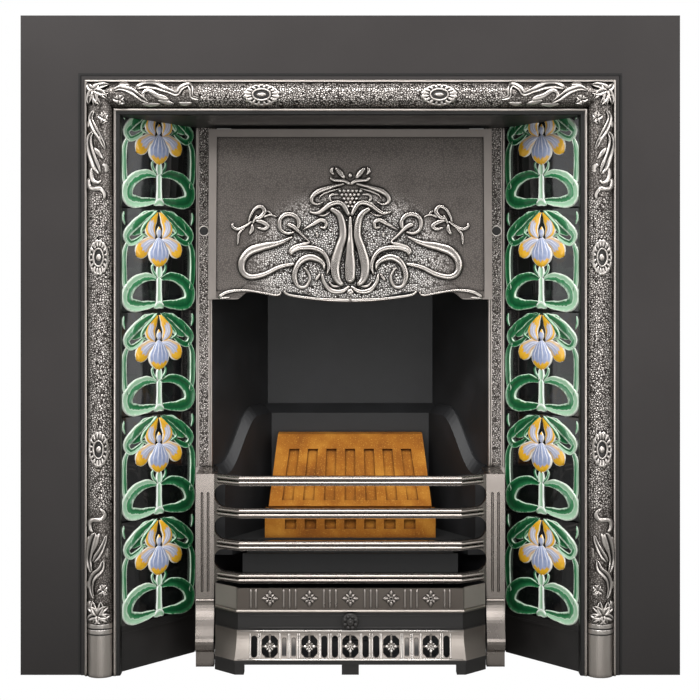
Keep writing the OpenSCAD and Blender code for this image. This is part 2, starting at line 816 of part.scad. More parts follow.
module back_brick() {
    half = brick_w / 2;
    half_head = brick_head_w / 2;
    pitch = brick_w / (brick_flutes + 0.8);
    taper = brick_head_w / brick_w;
    reach = brick_h * tan(brick_lean);
    color(clay) place() difference() {
        intersection() {
            slab_x([[brick_d, brick_seat_z], [brick_d + reach, brick_seat_z + brick_h],
                    [brick_d + reach + brick_run, brick_seat_z + brick_h],
                    [brick_d + brick_run, brick_seat_z]], -half, half);
            translate([0, 0, brick_seat_z])
                slab_y([[-half, 0], [half, 0], [half_head, brick_h], [-half_head, brick_h]], 0, chamber_d);
        }
        for (i = [0:brick_flutes - 1]) {
            x = (i - (brick_flutes - 1) / 2) * pitch;
            w = pitch * flute_share;
            translate([0, brick_d, brick_seat_z]) rotate([-brick_lean, 0, 0])
                slab_y([[x - w, flute_foot], [x + w, flute_foot],
                        [taper * (x + w), (brick_h - flute_head) / cos(brick_lean)],
                        [taper * (x - w), (brick_h - flute_head) / cos(brick_lean)]], -10, panel_sink);
        }
    }
}

module lower_brick() {
    square_w = 18;
    square_h = 15;
    pitch = brick_low_w / (brick_flutes + 1.6);
    color(clay) place() difference() {
        union() {
            translate([-brick_low_w / 2, brick_low_d, brick_foot_z])
                cube([brick_low_w, brick_low_t, brick_low_h]);
            translate([-brick_w / 2, brick_d + tongue_set, brick_foot_z])
                cube([brick_w, brick_low_t - brick_step - tongue_set, brick_low_h + brick_tongue]);
        }
        for (i = [0:brick_flutes - 1])
            translate([(i - (brick_flutes - 1) / 2) * pitch - square_w / 2, brick_low_d - 1,
                       brick_foot_z + (brick_low_h - square_h) / 2])
                cube([square_w, panel_sink + 1, square_h]);
    }
}

// ---- Fire chamber ----

cheek_len = (chamber_d - cheek_d) * cheek_sec;
cheek_turn = 90 + atan(cheek_slope);
back_flange = 30;
back_half = chamber_back_w / 2 + back_flange;
back_bolt_x = chamber_back_w / 2 + back_flange * 2 / 3;
back_bolt_z = [100, 430, 720];
ledge_h = 12;
ledge_low_z = bearer_z - ledge_h;
lining_foot = 2;
lining_round = 3;
lining_bevel = 14;
curve_u0 = 14;
curve_u1 = 106;

// Local X runs back along the cheek, local Y into the chamber
module cheek_frame() translate([half_fire, cheek_d, 0]) rotate([0, 0, cheek_turn]) children();

// Top of the cheek lining: low at the front, sweeping up to the back
function lining_top(u) =
    shelf_z + (lining_high - shelf_z) * ease(max(0, min(1, (u - curve_u0) / (curve_u1 - curve_u0))));
lining_stations = concat(
    [lining_foot], [for (i = [0:14]) curve_u0 + (curve_u1 - curve_u0) * i / 14], [cheek_len]);

module cheek_lining() {
    low = bearer_z;
    skin([for (u = lining_stations) let (z = lining_top(u))
        [[u, -1, low], [u, -1, z], [u, lining_round, z], [u, cheek_lining_t, z - lining_bevel],
         [u, cheek_lining_t, low]]]);
    translate([lining_foot, -1, ledge_low_z]) {
        cube([cheek_len, cheek_lining_t + ledge_proud + 1, ledge_h]);
        cube([cheek_len, cheek_lining_t + 1, ledge_h + eps]);
    }
}

module cheek() {
    flange_x = cheek_x(chamber_d - flange_t, 0);
    color(iron_black) place() difference() {
        union() {
            intersection() {
                cheek_frame() translate([0, -cheek_t, 0]) cube([cheek_len + 2 * cheek_t, cheek_t, cheek_h]);
                translate([0, cheek_d, 0]) cube([surround_w, chamber_d - cheek_d, cheek_h]);
            }
            intersection() {
                cheek_frame() cheek_lining();
                translate([0, cheek_d, 0]) cube([surround_w, lining_d - cheek_d, cheek_h]);
            }
            translate([half_fire, cheek_d, 0]) cube([flange_w, flange_t, cheek_h]);
            translate([flange_x, chamber_d - flange_t, 0])
                cube([back_half - flange_x - fit, flange_t, cheek_h]);
        }
        for (z = [screw_z, screw_low_z])
            rod_y(column_mid, z, cheek_d - 1, cheek_d + flange_t + 1, bolt_hole_r);
        for (z = back_bolt_z) rod_y(back_bolt_x, z, chamber_d - flange_t - 1, chamber_d + 1, bolt_hole_r);
    }
}

module left_cheek() mirror([1, 0, 0]) cheek();
module right_cheek() cheek();

module chamber_back() {
    high_x = cheek_x(chamber_d, 0) - fit;
    low_x = cheek_x(lining_d, 0) - fit;
    color(iron_black) place() difference() {
        union() {
            translate([-back_half, chamber_d, 0]) cube([2 * back_half, back_t, cheek_h]);
            intersection() {
                slab_x([[lining_d, ledge_low_z], [chamber_d + 1, ledge_low_z], [chamber_d + 1, lining_high],
                        [chamber_d - 4, lining_high], [lining_d, lining_high - lining_bevel]],
                       -back_half, back_half);
                linear_extrude(cheek_h)
                    polygon([[-low_x, lining_d], [low_x, lining_d], [high_x, chamber_d],
                             [high_x, chamber_d + 1], [-high_x, chamber_d + 1], [-high_x, chamber_d]]);
            }
        }
        both_sides() for (z = back_bolt_z)
            rod_y(back_bolt_x, z, chamber_d - 1, chamber_d + back_t + 1, bolt_hole_r);
    }
}

module chamber_bolts() {
    color(steel) place() both_sides() for (z = back_bolt_z) {
        hex_y(back_bolt_x, z, chamber_d - flange_t - hex_head_h, chamber_d - flange_t, nut_key);
        rod_y(back_bolt_x, z, chamber_d - flange_t - shank_sink, chamber_d + back_t - shank_sink, screw_r);
    }
}

// ---- Throat and damper ----

throat_z = cheek_h + throat_t;
flue_set = 58;
flue_mid_d = cheek_d + flue_set;
knuckle_wall = 4;
knuckle_r = pin_r + knuckle_wall;
pin_set = 18;
pin_d = flue_mid_d + flue_depth / 2 + pin_set;
pin_z = throat_z + knuckle_r + fit;
flap_t = 6;
flap_lap = 10;
flap_w = flue_w + 2 * flap_lap;
damper_ear_w = 8;
damper_ear_x = flap_w / 2 + 4;

module throat_plate() {
    color(iron_black) place() difference() {
        union() {
            translate([0, 0, cheek_h]) linear_extrude(throat_t)
                polygon([[1 - half_fire, arch_back_d], [half_fire - 1, arch_back_d],
                         [half_fire - 1, cheek_d], [half_fire + flange_w, cheek_d],
                         [back_half, chamber_d + back_t], [-back_half, chamber_d + back_t],
                         [-half_fire - flange_w, cheek_d], [1 - half_fire, cheek_d]]);
            both_sides() {
                translate([damper_ear_x, pin_d - knuckle_r, throat_z - 1])
                    cube([damper_ear_w, 2 * knuckle_r, pin_z - throat_z + 1]);
                rod_x(pin_d, pin_z, damper_ear_x, damper_ear_x + damper_ear_w, knuckle_r);
            }
        }
        translate([-flue_w / 2, flue_mid_d - flue_depth / 2, cheek_h - 1])
            cube([flue_w, flue_depth, throat_t + 2]);
        rod_x(pin_d, pin_z, -back_half, back_half, pin_r + thread_gap);
    }
}

module damper_flap() {
    front = flue_mid_d - flue_depth / 2 - flap_lap;
    color(iron_black) place() difference() {
        union() {
            translate([-flap_w / 2, front, throat_z + clear]) cube([flap_w, pin_d - front, flap_t]);
            rod_x(pin_d, pin_z, -flap_w / 2, flap_w / 2, knuckle_r);
        }
        rod_x(pin_d, pin_z, -flap_w, flap_w, pin_r + run_gap);
    }
}

module damper_pin() {
    half = damper_ear_x + damper_ear_w + 3;
    color(steel) place() rod_x(pin_d, pin_z, -half, half, pin_r);
}

// ---- Ash cover and its knob ----

cover_play = 2.5;
cover_set = 8;
cover_over = 12;
band_h = 31;
strip_h = 33;
strip_sunk = 2;
base_h = 6.5;
cover_end_x = pilaster_in - cover_play;
cover_end_d = pilaster_d - cover_set;
cover_slope = (cover_end_d - cover_d) / (cover_end_x - cover_corner);
cover_path = canted(cover_end_x + cover_over, cover_end_d + cover_over * cover_slope, cover_corner, cover_d);
cover_top = foot_h + cover_h;
cut_front = cover_d - 3 * cover_flare;
cut_rear = cover_d + strip_sunk + 3 * cover_t;
band_low = cover_top - band_h;
strip_low = band_low - strip_h;
flare_low = foot_h + base_h;
knob_z = (band_low + strip_low) / 2;
cover_bead_r = 2.6;
function flare(z) = 1 + (cover_flare - 1) * (1 - cos(90 * (strip_low - z) / (strip_low - flare_low)));
cover_profile = concat(
    [[-cover_t, cover_top], [-cover_t, band_low], [-strip_sunk - cover_t, band_low - 6],
     [-strip_sunk - cover_t, strip_low + 2]],
    [for (i = [0:6]) let (z = strip_low + (flare_low - strip_low) * i / 6) [flare(z) - cover_t - 1, z]],
    [[cover_flare - cover_t - 1, foot_h], [cover_flare, foot_h]],
    [for (i = [8:-1:0]) let (z = strip_low + (flare_low - strip_low) * i / 8) [flare(z), z]],
    [[1, strip_low + 3.5], [-strip_sunk, strip_low + 3.5], [-strip_sunk, band_low - 2 * cover_bead_r]],
    arc(0, band_low - cover_bead_r, cover_bead_r, -90, 90, 8),
    [[0, band_low + eps], [0, cover_top]]);
slot_x = [22.5, 38, 141];
flute_x = [83, 97];
window_x = [0, 60, 118];
pierce_low = foot_h + 10;
pierce_high = strip_low - 5;
window_w = 24;
window_corner = 6;
rosette_r = 5.5;
foot_in = 12;
foot_half = 12.5;
side_foot_w = 10;

module window_cut(x) {
    z0 = pierce_low;
    z1 = pierce_high;
    h = window_w / 2;
    c = window_corner;
    slab_y([[x - h, z0 + c], [x - h + c, z0], [x + h - c, z0], [x + h, z0 + c],
            [x + h, z1 - c], [x + h - c, z1], [x - h + c, z1], [x - h, z1 - c]], cut_front, cut_rear);
}

// Rosette held in a window by four spokes
module rosette(x) {
    z = (pierce_low + pierce_high) / 2;
    spoke = 2.6;
    front = cover_d - flare(z) - 1;
    rod_y(x, z, front - 1, front + cover_t, rosette_r);
    translate([x - window_w / 2 - 1, front + 1, z - spoke / 2]) cube([window_w + 2, cover_t - 1, spoke]);
    translate([x - spoke / 2, front + 1, pierce_low - 1])
        cube([spoke, cover_t - 1, pierce_high - pierce_low + 2]);
}

module foot_plan() {
    intersection() {
        polygon(cant_strip(cover_path, cover_flare - 1.5, -foot_in));
        union() {
            translate([-foot_half, cut_front]) square([2 * foot_half, pilaster_d]);
            both_sides() translate([cover_corner - side_foot_w, cut_front])
                square([cover_end_x - cover_corner + side_foot_w, 2 * pilaster_d]);
        }
    }
}

module ash_cover() {
    tilt = atan(cover_flare / (strip_low - flare_low));
    color(iron_bright) place() difference() {
        union() {
            difference() {
                intersection() {
                    skin([for (i = [0:3]) cant_ring(cover_path, i, cover_profile)]);
                    translate([-cover_end_x, cut_front, 0])
                        cube([2 * cover_end_x, 2 * pilaster_d, cover_top + 1]);
                }
                for (x = slot_x, s = [-1, 1])
                    obround_y(s * x, pierce_low, pierce_high, pierce_w, cut_front, cut_rear);
                for (x = window_x, s = x == 0 ? [1] : [-1, 1]) window_cut(s * x);
                for (x = flute_x, s = [-1, 1])
                    translate([0, cover_d - flare(flare_low), flare_low]) rotate([-tilt, 0, 0])
                        translate([0, 0, -flare_low])
                        obround_y(s * x, pierce_low + 2, pierce_high - 2, pierce_w - 2,
                                  cut_front, cover_t / 2);
            }
            for (x = window_x, s = x == 0 ? [1] : [-1, 1]) rosette(s * x);
            linear_extrude(foot_h + 1) foot_plan();
        }
        rod_y(0, knob_z, cut_front, cut_rear, screw_r + clear);
    }
}

module ash_knob() {
    face = cover_d + strip_sunk;
    head = 9;
    neck = 5;
    rim = 3;
    tail = cover_t + nut_h + 2;
    color(iron_black) place() translate([0, face, knob_z]) rotate([90, 0, 0]) rotate_extrude()
        polygon(concat([[0, -tail], [screw_r, -tail], [screw_r, 0], [neck, 0], [neck, neck],
                        [knob_r - rim, neck]],
                       arc(knob_r - rim, neck + rim, rim, -90, 60, 6),
                       [[knob_r / 2, neck + head - 2], [knob_r / 3, neck + head], [0, neck + head]]));
}

module knob_nut() {
    seat = cover_d + strip_sunk + cover_t;
    color(steel) place() difference() {
        hex_y(0, knob_z, seat, seat + nut_h, nut_key);
        rod_y(0, knob_z, seat - 1, seat + nut_h + 1, screw_r + thread_gap);
    }
}

// ---- Ash pan ----

pan_play = 4;
pan_d = pilaster_d + front_t + pan_play;
// The pan's back corners stop against the cheeks
pan_back_d = cheek_d + (half_fire - pan_w / 2 - clear * cheek_sec) / cheek_slope;
pan_depth = pan_back_d - pan_d;

module ash_pan() {
    grip_half = 32;
    grip_out = 14;
    grip_r = 3;
    grip_z = pan_h - 4 * grip_r;
    color(sheet) place() {
        difference() {
            translate([-pan_w / 2, pan_d, 0]) cube([pan_w, pan_depth, pan_h]);
            translate([pan_t - pan_w / 2, pan_d + pan_t, pan_t])
                cube([pan_w - 2 * pan_t, pan_depth - 2 * pan_t, pan_h]);
        }
        rod_x(pan_d - grip_out, grip_z, -grip_half, grip_half, grip_r);
        both_sides() rod_y(grip_half - grip_r, grip_z, pan_d - grip_out, pan_d + 1, grip_r);
    }
}

surround_frame();
top_soffit();
left_tile_tray();
right_tile_tray();
left_tile(1);  // left_tile_1
left_tile(2);  // left_tile_2
left_tile(3);  // left_tile_3
left_tile(4);  // left_tile_4
left_tile(5);  // left_tile_5
right_tile(1);  // right_tile_1
right_tile(2);  // right_tile_2
right_tile(3);  // right_tile_3
right_tile(4);  // right_tile_4
right_tile(5);  // right_tile_5
arch_plate();
column_screws();
column_nuts();
frame_bolts();
hood();
hood_rod();
hood_hooks();
grate_front();
bottom_grate();
brick_bearer();
back_brick();
lower_brick();
chamber_back();
left_cheek();
right_cheek();
chamber_bolts();
throat_plate();
damper_flap();
damper_pin();
ash_cover();
ash_knob();
knob_nut();
ash_pan();
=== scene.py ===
"""Looks of a cast iron register fireplace with splayed tile panels.

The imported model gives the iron, clay and tile bodies. This script gives each of them its finish and adds
what the foundry and the tile maker put on top: the cast relief of the surround, canopy and ash cover, and
the raised, glazed flowers of the tiles. Sizes are in millimetres until a point is placed in the scene.
"""

import logging
import math
from dataclasses import dataclass, replace
from enum import Enum
from functools import cache
from typing import Any, Callable, Iterable, Sequence

import bmesh
import bpy
from mathutils import Euler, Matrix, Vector

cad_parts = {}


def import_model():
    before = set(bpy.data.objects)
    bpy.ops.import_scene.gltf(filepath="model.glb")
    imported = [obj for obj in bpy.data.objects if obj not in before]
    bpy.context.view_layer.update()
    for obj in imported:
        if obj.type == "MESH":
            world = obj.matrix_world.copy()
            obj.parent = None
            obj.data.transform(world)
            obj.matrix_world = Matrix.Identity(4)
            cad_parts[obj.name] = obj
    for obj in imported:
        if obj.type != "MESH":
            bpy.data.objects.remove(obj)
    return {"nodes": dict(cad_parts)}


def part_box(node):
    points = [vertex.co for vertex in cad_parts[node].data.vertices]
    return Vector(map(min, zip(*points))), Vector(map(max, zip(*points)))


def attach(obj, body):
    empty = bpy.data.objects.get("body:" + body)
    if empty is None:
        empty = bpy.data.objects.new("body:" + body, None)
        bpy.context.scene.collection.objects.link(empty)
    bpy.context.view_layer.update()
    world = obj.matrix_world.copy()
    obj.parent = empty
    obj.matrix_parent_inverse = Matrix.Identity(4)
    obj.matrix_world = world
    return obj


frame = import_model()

log = logging.getLogger("fireplace")

MM = 0.001
HOLLOW_SAMPLES = 6
Flat = tuple[float, float]
Three = tuple[float, float, float]
Placer = Callable[[float, float, float], Vector]
Socket = bpy.types.NodeSocket


# ---- Node helpers ----


def linear(colour: str) -> tuple[float, float, float, float]:
    """Turn an sRGB hex colour into linear numbers.

    Args:
        colour: Six hex digits after a #.

    Returns:
        Linear red, green and blue with an alpha of 1.
    """
    parts = [int(colour[i:i + 2], 16) / 255 for i in (1, 3, 5)]
    red, green, blue = (p / 12.92 if p <= 0.04045 else ((p + 0.055) / 1.055) ** 2.4 for p in parts)
    return red, green, blue, 1.0


def add_node(tree: bpy.types.NodeTree, kind: str, inputs: dict[int | str, Any] | None = None,
             **settings: Any) -> bpy.types.Node:
    """Add a node with its settings and fill its inputs.

    Args:
        tree: Node tree that gets the node.
        kind: Node type, without the ShaderNode that all of them begin with.
        inputs: Input names or numbers, each with a value, a hex colour or a socket to link.
        **settings: The node's own settings.

    Returns:
        The new node.
    """
    node = tree.nodes.new("ShaderNode" + kind)
    for name, value in settings.items():
        setattr(node, name, value)
    for name, value in (inputs or {}).items():
        if isinstance(value, Socket):
            tree.links.new(value, node.inputs[name])
        else:
            node.inputs[name].default_value = linear(value) if isinstance(value, str) else value
    return node


class Maker:
    """Short names for the few node patterns that the finishes share."""

    def __init__(self, tree: bpy.types.NodeTree) -> None:
        """Start on an empty tree and read the object's coordinates in millimetres."""
        self.tree = tree
        coords = add_node(tree, "TexCoord").outputs["Object"]
        scaled = add_node(tree, "VectorMath", {0: coords, 1: (1 / MM,) * 3}, operation="MULTIPLY")
        self.place = scaled.outputs[0]
        axes = add_node(tree, "SeparateXYZ", {0: self.place}).outputs
        self.x, self.y, self.z = axes[0], axes[1], axes[2]

    def math(self, operation: str, a: Any, b: Any = 0.0, clamp: bool = False) -> Socket:
        """Return the result of one sum on two values or sockets."""
        return add_node(self.tree, "Math", {0: a, 1: b}, operation=operation, use_clamp=clamp).outputs[0]

    def plus(self, a: Any, b: Any) -> Socket:
        """Return a sum."""
        return self.math("ADD", a, b)

    def minus(self, a: Any, b: Any) -> Socket:
        """Return a difference."""
        return self.math("SUBTRACT", a, b)

    def times(self, a: Any, b: Any) -> Socket:
        """Return a product."""
        return self.math("MULTIPLY", a, b)

    def most(self, a: Any, b: Any) -> Socket:
        """Return the greater of two values."""
        return self.math("MAXIMUM", a, b)

    def size(self, a: Any) -> Socket:
        """Return a value without its sign."""
        return self.math("ABSOLUTE", a)

    def ramp(self, value: Any, low: float, high: float) -> Socket:
        """Return 0 below low, 1 above high and a soft step between, for either order of the two."""
        return add_node(self.tree, "MapRange", {0: value, 1: low, 2: high},
                        interpolation_type="SMOOTHSTEP").outputs[0]

    def band(self, value: Any, low: float, high: float, soft: float) -> Socket:
        """Return 1 between low and high and 0 outside, with soft edges."""
        rise = self.ramp(value, low - soft, low + soft)
        fall = self.ramp(value, high + soft, high - soft)
        return self.times(rise, fall)

    def mix(self, factor: Any, a: Any, b: Any) -> Socket:
        """Return a colour between a and b."""
        return add_node(self.tree, "Mix", {0: factor, 6: a, 7: b}, data_type="RGBA").outputs[2]

    def blend(self, factor: Any, a: Any, b: Any) -> Socket:
        """Return a number between a and b."""
        return add_node(self.tree, "Mix", {0: factor, 2: a, 3: b}).outputs[0]

    def noise(self, size: float, detail: float = 2.0, stretch: Sequence[float] = (1, 1, 1)) -> Any:
        """Return noise whose lumps are about size millimetres, longer where stretch is above 1."""
        spread = add_node(self.tree, "Mapping",
                          {"Vector": self.place, "Scale": tuple(1 / s for s in stretch)})
        return add_node(self.tree, "TexNoise",
                        {"Vector": spread.outputs[0], "Scale": 1 / size, "Detail": detail}).outputs[0]

    def pebbles(self, size: float) -> Socket:
        """Return grains size millimetres apart, from 0 between them to about 0.5 on their tops."""
        return add_node(self.tree, "TexVoronoi",
                        {"Vector": self.place, "Scale": 1 / size, "Randomness": 0.9},
                        feature="DISTANCE_TO_EDGE").outputs["Distance"]

    def hollow(self, reach: float) -> Socket:
        """Return 1 on open metal and less in corners and grooves within reach millimetres."""
        return add_node(self.tree, "AmbientOcclusion", {"Distance": reach * MM},
                        samples=HOLLOW_SAMPLES).outputs["AO"]

    def attribute(self, name: str) -> Socket:
        """Return one of the numbers that the relief carries on its points."""
        return add_node(self.tree, "Attribute", attribute_name=name).outputs["Fac"]

    def scale_ramp(self, value: Any, stops: Iterable[tuple[float, str]]) -> Socket:
        """Return a colour that runs through the given stops."""
        node = add_node(self.tree, "ValToRGB", {0: value})
        elements = node.color_ramp.elements
        for number, (position, colour) in enumerate(stops):
            element = elements[number] if number < 2 else elements.new(position)
            element.position = position
            element.color = linear(colour)
        return node.outputs[0]

    def bump(self, height: Any, depth: float, strength: float = 1.0, normal: Any = None) -> Any:
        """Return a normal bent by a height that is depth millimetres deep."""
        inputs: dict[int | str, Any] = {"Height": height, "Distance": depth * MM, "Strength": strength}
        if normal is not None:
            inputs["Normal"] = normal
        return add_node(self.tree, "Bump", inputs).outputs[0]


# ---- Finishes ----


@dataclass(frozen=True)
class Finish:
    """A surface finish. Each kind fills in the sockets of one shader."""

    name: str
    metallic: float = 0.0
    roughness: float = 0.5

    def dress(self, make: Maker) -> dict[str, Any]:
        """Return the shader sockets that vary over the surface or differ from their defaults."""
        raise NotImplementedError

    def material(self) -> bpy.types.Material:
        """Return this finish's material, made once."""
        known = bpy.data.materials.get(self.name)
        if known:
            return known
        made = bpy.data.materials.new(self.name)
        made.use_nodes = True
        tree = made.node_tree
        tree.nodes.clear()
        sockets: dict[str, Any] = {"Metallic": self.metallic, "Roughness": self.roughness}
        sockets.update(self.dress(Maker(tree)))
        shader = add_node(tree, "BsdfPrincipled", sockets)
        add_node(tree, "OutputMaterial", {0: shader.outputs[0]})
        return made


@dataclass(frozen=True)
class BlackLeadedIron(Finish):
    """Sand cast iron rubbed with black lead: a soft dark sheen over the fine grain of the sand."""

    roughness: float = 0.5
    colour: str = "#1d1b1a"
    worn: str = "#2c2927"
    grain: float = 1.6
    grain_depth: float = 0.12

    def dress(self, make: Maker) -> dict[str, Any]:
        """Cloud the colour and roughness at random, and add the sand's grain."""
        cloud = make.noise(60, 3)
        colour = make.mix(make.ramp(cloud, 0.35, 0.75), self.colour, self.worn)
        grain = make.noise(self.grain, 2)
        rough = make.blend(cloud, self.roughness - 0.06, self.roughness + 0.08)
        return {"Base Color": colour, "Roughness": rough, "Normal": make.bump(grain, self.grain_depth)}


@dataclass(frozen=True)
class LowShadedIron(BlackLeadedIron):
    """Chamber iron with painted shade over its lower part, to match what is darkest in the photograph."""

    roughness: float = 0.55
    colour: str = "#171718"
    worn: str = "#222224"
    # Heights in millimetres where the painted shade begins and where it is whole
    low_shade: Flat = (260.0, 130.0)

    def dress(self, make: Maker) -> dict[str, Any]:
        """Darken the lower part of the iron with painted shade, and make it rougher there."""
        inputs = super().dress(make)
        # Painted shade: the colour goes near black towards the chamber's floor
        low_shade = make.ramp(make.z, *self.low_shade)
        inputs["Base Color"] = make.mix(low_shade, inputs["Base Color"], "#0a0a0a")
        inputs["Roughness"] = make.blend(low_shade, inputs["Roughness"], 0.85)
        return inputs


@dataclass(frozen=True)
class BurnishedIron(Finish):
    """Cast iron polished on its high spots, with black lead and painted shade left in the hollows."""

    metallic: float = 1.0
    roughness: float = 0.3
    colour: str = "#a9a19b"
    black: str = "#1b1918"
    reach: float = 8.0
    clear: Flat = (0.3, 0.9)

    def iron(self, make: Maker, bare: Any, hollows_cleared: Any = 0.0) -> tuple[Any, Any]:
        """Return the bare metal's colour with its hollows blackened by black lead and painted shade, and the
        roughness.

        Args:
            make: Maker on the finish's tree.
            bare: Colour of the open metal, in hex or as a socket.
            hollows_cleared: 1 where the hollows lose their black lead and painted shade, 0 where they keep
                them.

        Returns:
            Colour and roughness.
        """
        # Black lead and painted shade: corners and grooves that the occlusion finds go black
        open_metal = make.most(make.ramp(make.hollow(self.reach), *self.clear), hollows_cleared)
        cloud = make.noise(35, 3)
        clouded = make.mix(make.times(cloud, 0.3), bare, "#5f5955")
        rough = make.blend(cloud, self.roughness - 0.05, self.roughness + 0.1)
        return make.mix(open_metal, self.black, clouded), rough

    def dress(self, make: Maker) -> dict[str, Any]:
        """Polish the open metal and leave fine polishing marks."""
        colour, rough = self.iron(make, self.colour)
        marks = make.noise(0.8, 2, (1, 1, 6))
        return {"Base Color": colour, "Roughness": rough, "Normal": make.bump(marks, 0.02)}


@dataclass(frozen=True)
class StippledIron(BurnishedIron):
    """Burnished iron whose ground was hammered in the mould: polished pebbles in black.

    Each kind names the part of its node that is polished, the part of that which is stippled, how
    bright the stipple is there, and where painted shade darkens the lead. What isn't polished is black
    leaded.
    """

    pebble: float = 2.8
    pebble_depth: float = 0.5
    lead: str = "#2b2726"
    dull: str = "#4d4744"
    tops: str = "#ddd6d0"
    gap: Flat = (0.14, 0.04)
    rim_hollows_cleared: float = 0.0
    # Colour of the painted shade on the black lead
    shade: str = "#100e0d"

    def zones(self, make: Maker) -> tuple[Any, Any, Any, Any]:
        """Return the polished and the stippled part, the stipple's brightness and the shade, from 0 to 1."""
        raise NotImplementedError

    def dress(self, make: Maker) -> dict[str, Any]:
        """Polish, stipple and black the zones."""
        polished, ground, glow, shaded = self.zones(make)
        grain = make.pebbles(self.pebble)
        # glow sets the stipple's brightness, which on the canopy is a painted highlight
        tops = make.mix(make.ramp(grain, 0.05, 0.28), self.dull, self.tops)
        gap = make.times(make.ramp(grain, *self.gap), make.blend(glow, 0.4, 0.95))
        pebbled = make.mix(gap, make.mix(glow, self.dull, tops), self.black)
        hollows_cleared = make.times(make.minus(1.0, ground), self.rim_hollows_cleared)
        iron, rough = self.iron(make, make.mix(ground, self.colour, pebbled), hollows_cleared)
        lead = make.mix(make.ramp(make.noise(150, 2), 0.3, 0.7), self.lead, "#2f2b2a")
        height = make.times(make.ramp(grain, 0.0, 0.3), make.times(ground, glow))
        sand = make.bump(make.noise(1.6, 2), 0.1)
        # Painted shade: the black lead goes darker where the zones ask for it
        lead = make.mix(shaded, lead, self.shade)
        return {"Base Color": make.mix(polished, lead, iron), "Metallic": make.blend(polished, 0.25, 1.0),
                "Roughness": make.blend(polished, 0.46, rough),
                "Normal": make.bump(height, self.pebble_depth, normal=sand)}


@dataclass(frozen=True)
class MouldingIron(StippledIron):
    """The surround's iron: the border black leaded, the moulding burnished and its ground stippled.

    The border darkens towards the foot as painted shade, following the photograph. The border's
    dusk towards the foot follows the photograph, where it may be only the light.
    """

    half: float = 336.0
    top: float = 818.0
    inner: float = 10.0
    outer: float = 47.0
    beads: Flat = (4.6, 4.8)  # Polish past the stipple, inside and outside
    # Painted shade on the inner return inside the moulding
    lip: Flat = (4.0, 5.0)  # Where the black inside the stipple begins and is whole
    foot: float = 78.0
    face: float = -137.5
    sprays: Three = (222.0, 245.0, 702.0)  # Across on top, up at foot and corner
    fade: float = 8.0
    leafy: float = 0.65
    lines: Flat = (62.2, 70.5)
    line_half: float = 0.9
    # Painted shade on the border: it starts at the first height and deepens to half strength at the second
    foot_shade: Flat = (520.0, -60.0)
    # Painted shade in the step on the border round the moulding
    groove: Flat = (57.2, 62.0)

    def zones(self, make: Maker) -> tuple[Any, Any, Any, Any]:
        """Follow the moulding round the opening, and leave the ground between the leaves dull."""
        across = make.size(make.x)
        side = make.minus(across, self.half)
        over = make.minus(make.z, self.top)
        out = make.most(side, over)
        proud = make.ramp(make.y, self.face + 0.6, self.face - 1.2)
        shine = make.band(out, self.inner - self.beads[0], self.outer + self.beads[1], 0.2)
        polished = make.times(shine, proud)
        ground = make.times(make.band(out, self.inner, self.outer, 0.5),
                            make.ramp(make.z, self.foot - 0.5, self.foot + 0.5))
        top_half, foot_top, side_low = self.sprays
        corner = make.times(make.ramp(across, top_half - self.fade, top_half + self.fade),
                            make.ramp(make.z, side_low - self.fade, side_low + self.fade))
        spray = make.most(corner, make.ramp(make.z, foot_top + self.fade, foot_top - self.fade))
        for line in self.lines:
            cut = make.band(make.z, line - self.line_half, line + self.line_half, 0.2)
            cut = make.times(cut, make.band(out, self.inner, self.outer, 0.3))
            polished = make.math("SUBTRACT", polished, cut, clamp=True)
        # Painted shade: on the inner return, on the border towards its foot and in the step round the
        # moulding
        edges = make.most(make.ramp(out, self.inner - self.lip[0], self.inner - self.lip[1]),
                          make.times(make.ramp(make.z, *self.foot_shade), 0.5))
        shaded = make.most(edges, make.band(out, *self.groove, 0.3))
        return polished, ground, make.minus(1.0, make.times(spray, self.leafy)), shaded


@dataclass(frozen=True)
class CanopyIron(StippledIron):
    """The canopy's iron: smooth rims and a stippled panel, with a painted highlight round its flower."""

    half: float = 190.0
    low: float = 560.0
    high: float = 790.0
    centre: float = 620.0
    # Distances from the flower where the painted light ends and where it is whole
    spread: Flat = (178.0, 96.0)
    squeeze: float = 1.45

    def zones(self, make: Maker) -> tuple[Any, Any, Any, Any]:
        """Stipple the panel and paint a pool of light on its stipple round the flower."""
        across = make.size(make.x)
        field = make.times(make.ramp(across, self.half + 0.5, self.half - 0.5),
                           make.band(make.z, self.low, self.high, 1.0))
        rise = make.times(make.minus(make.z, self.centre), self.squeeze)
        away = make.math("SQRT", make.plus(make.times(across, across), make.times(rise, rise)))
        # Painted highlight: the stipple is brighter near the flower and dull far from it
        return 1.0, field, make.ramp(away, *self.spread), 0.0


@dataclass(frozen=True)
class ColumnIron(StippledIron):
    """The arch plate's iron: two stippled columns between smooth beads, on black."""

    low: float = 213.0
    high: float = 239.0
    bead: float = 6.0

    def zones(self, make: Maker) -> tuple[Any, Any, Any, Any]:
        """Stipple between the beads."""
        across = make.size(make.x)
        polished = make.band(across, self.low - 4, self.high + 4, 0.3)
        return polished, make.band(across, self.low + self.bead, self.high - self.bead, 0.4), 0.8, 0.0


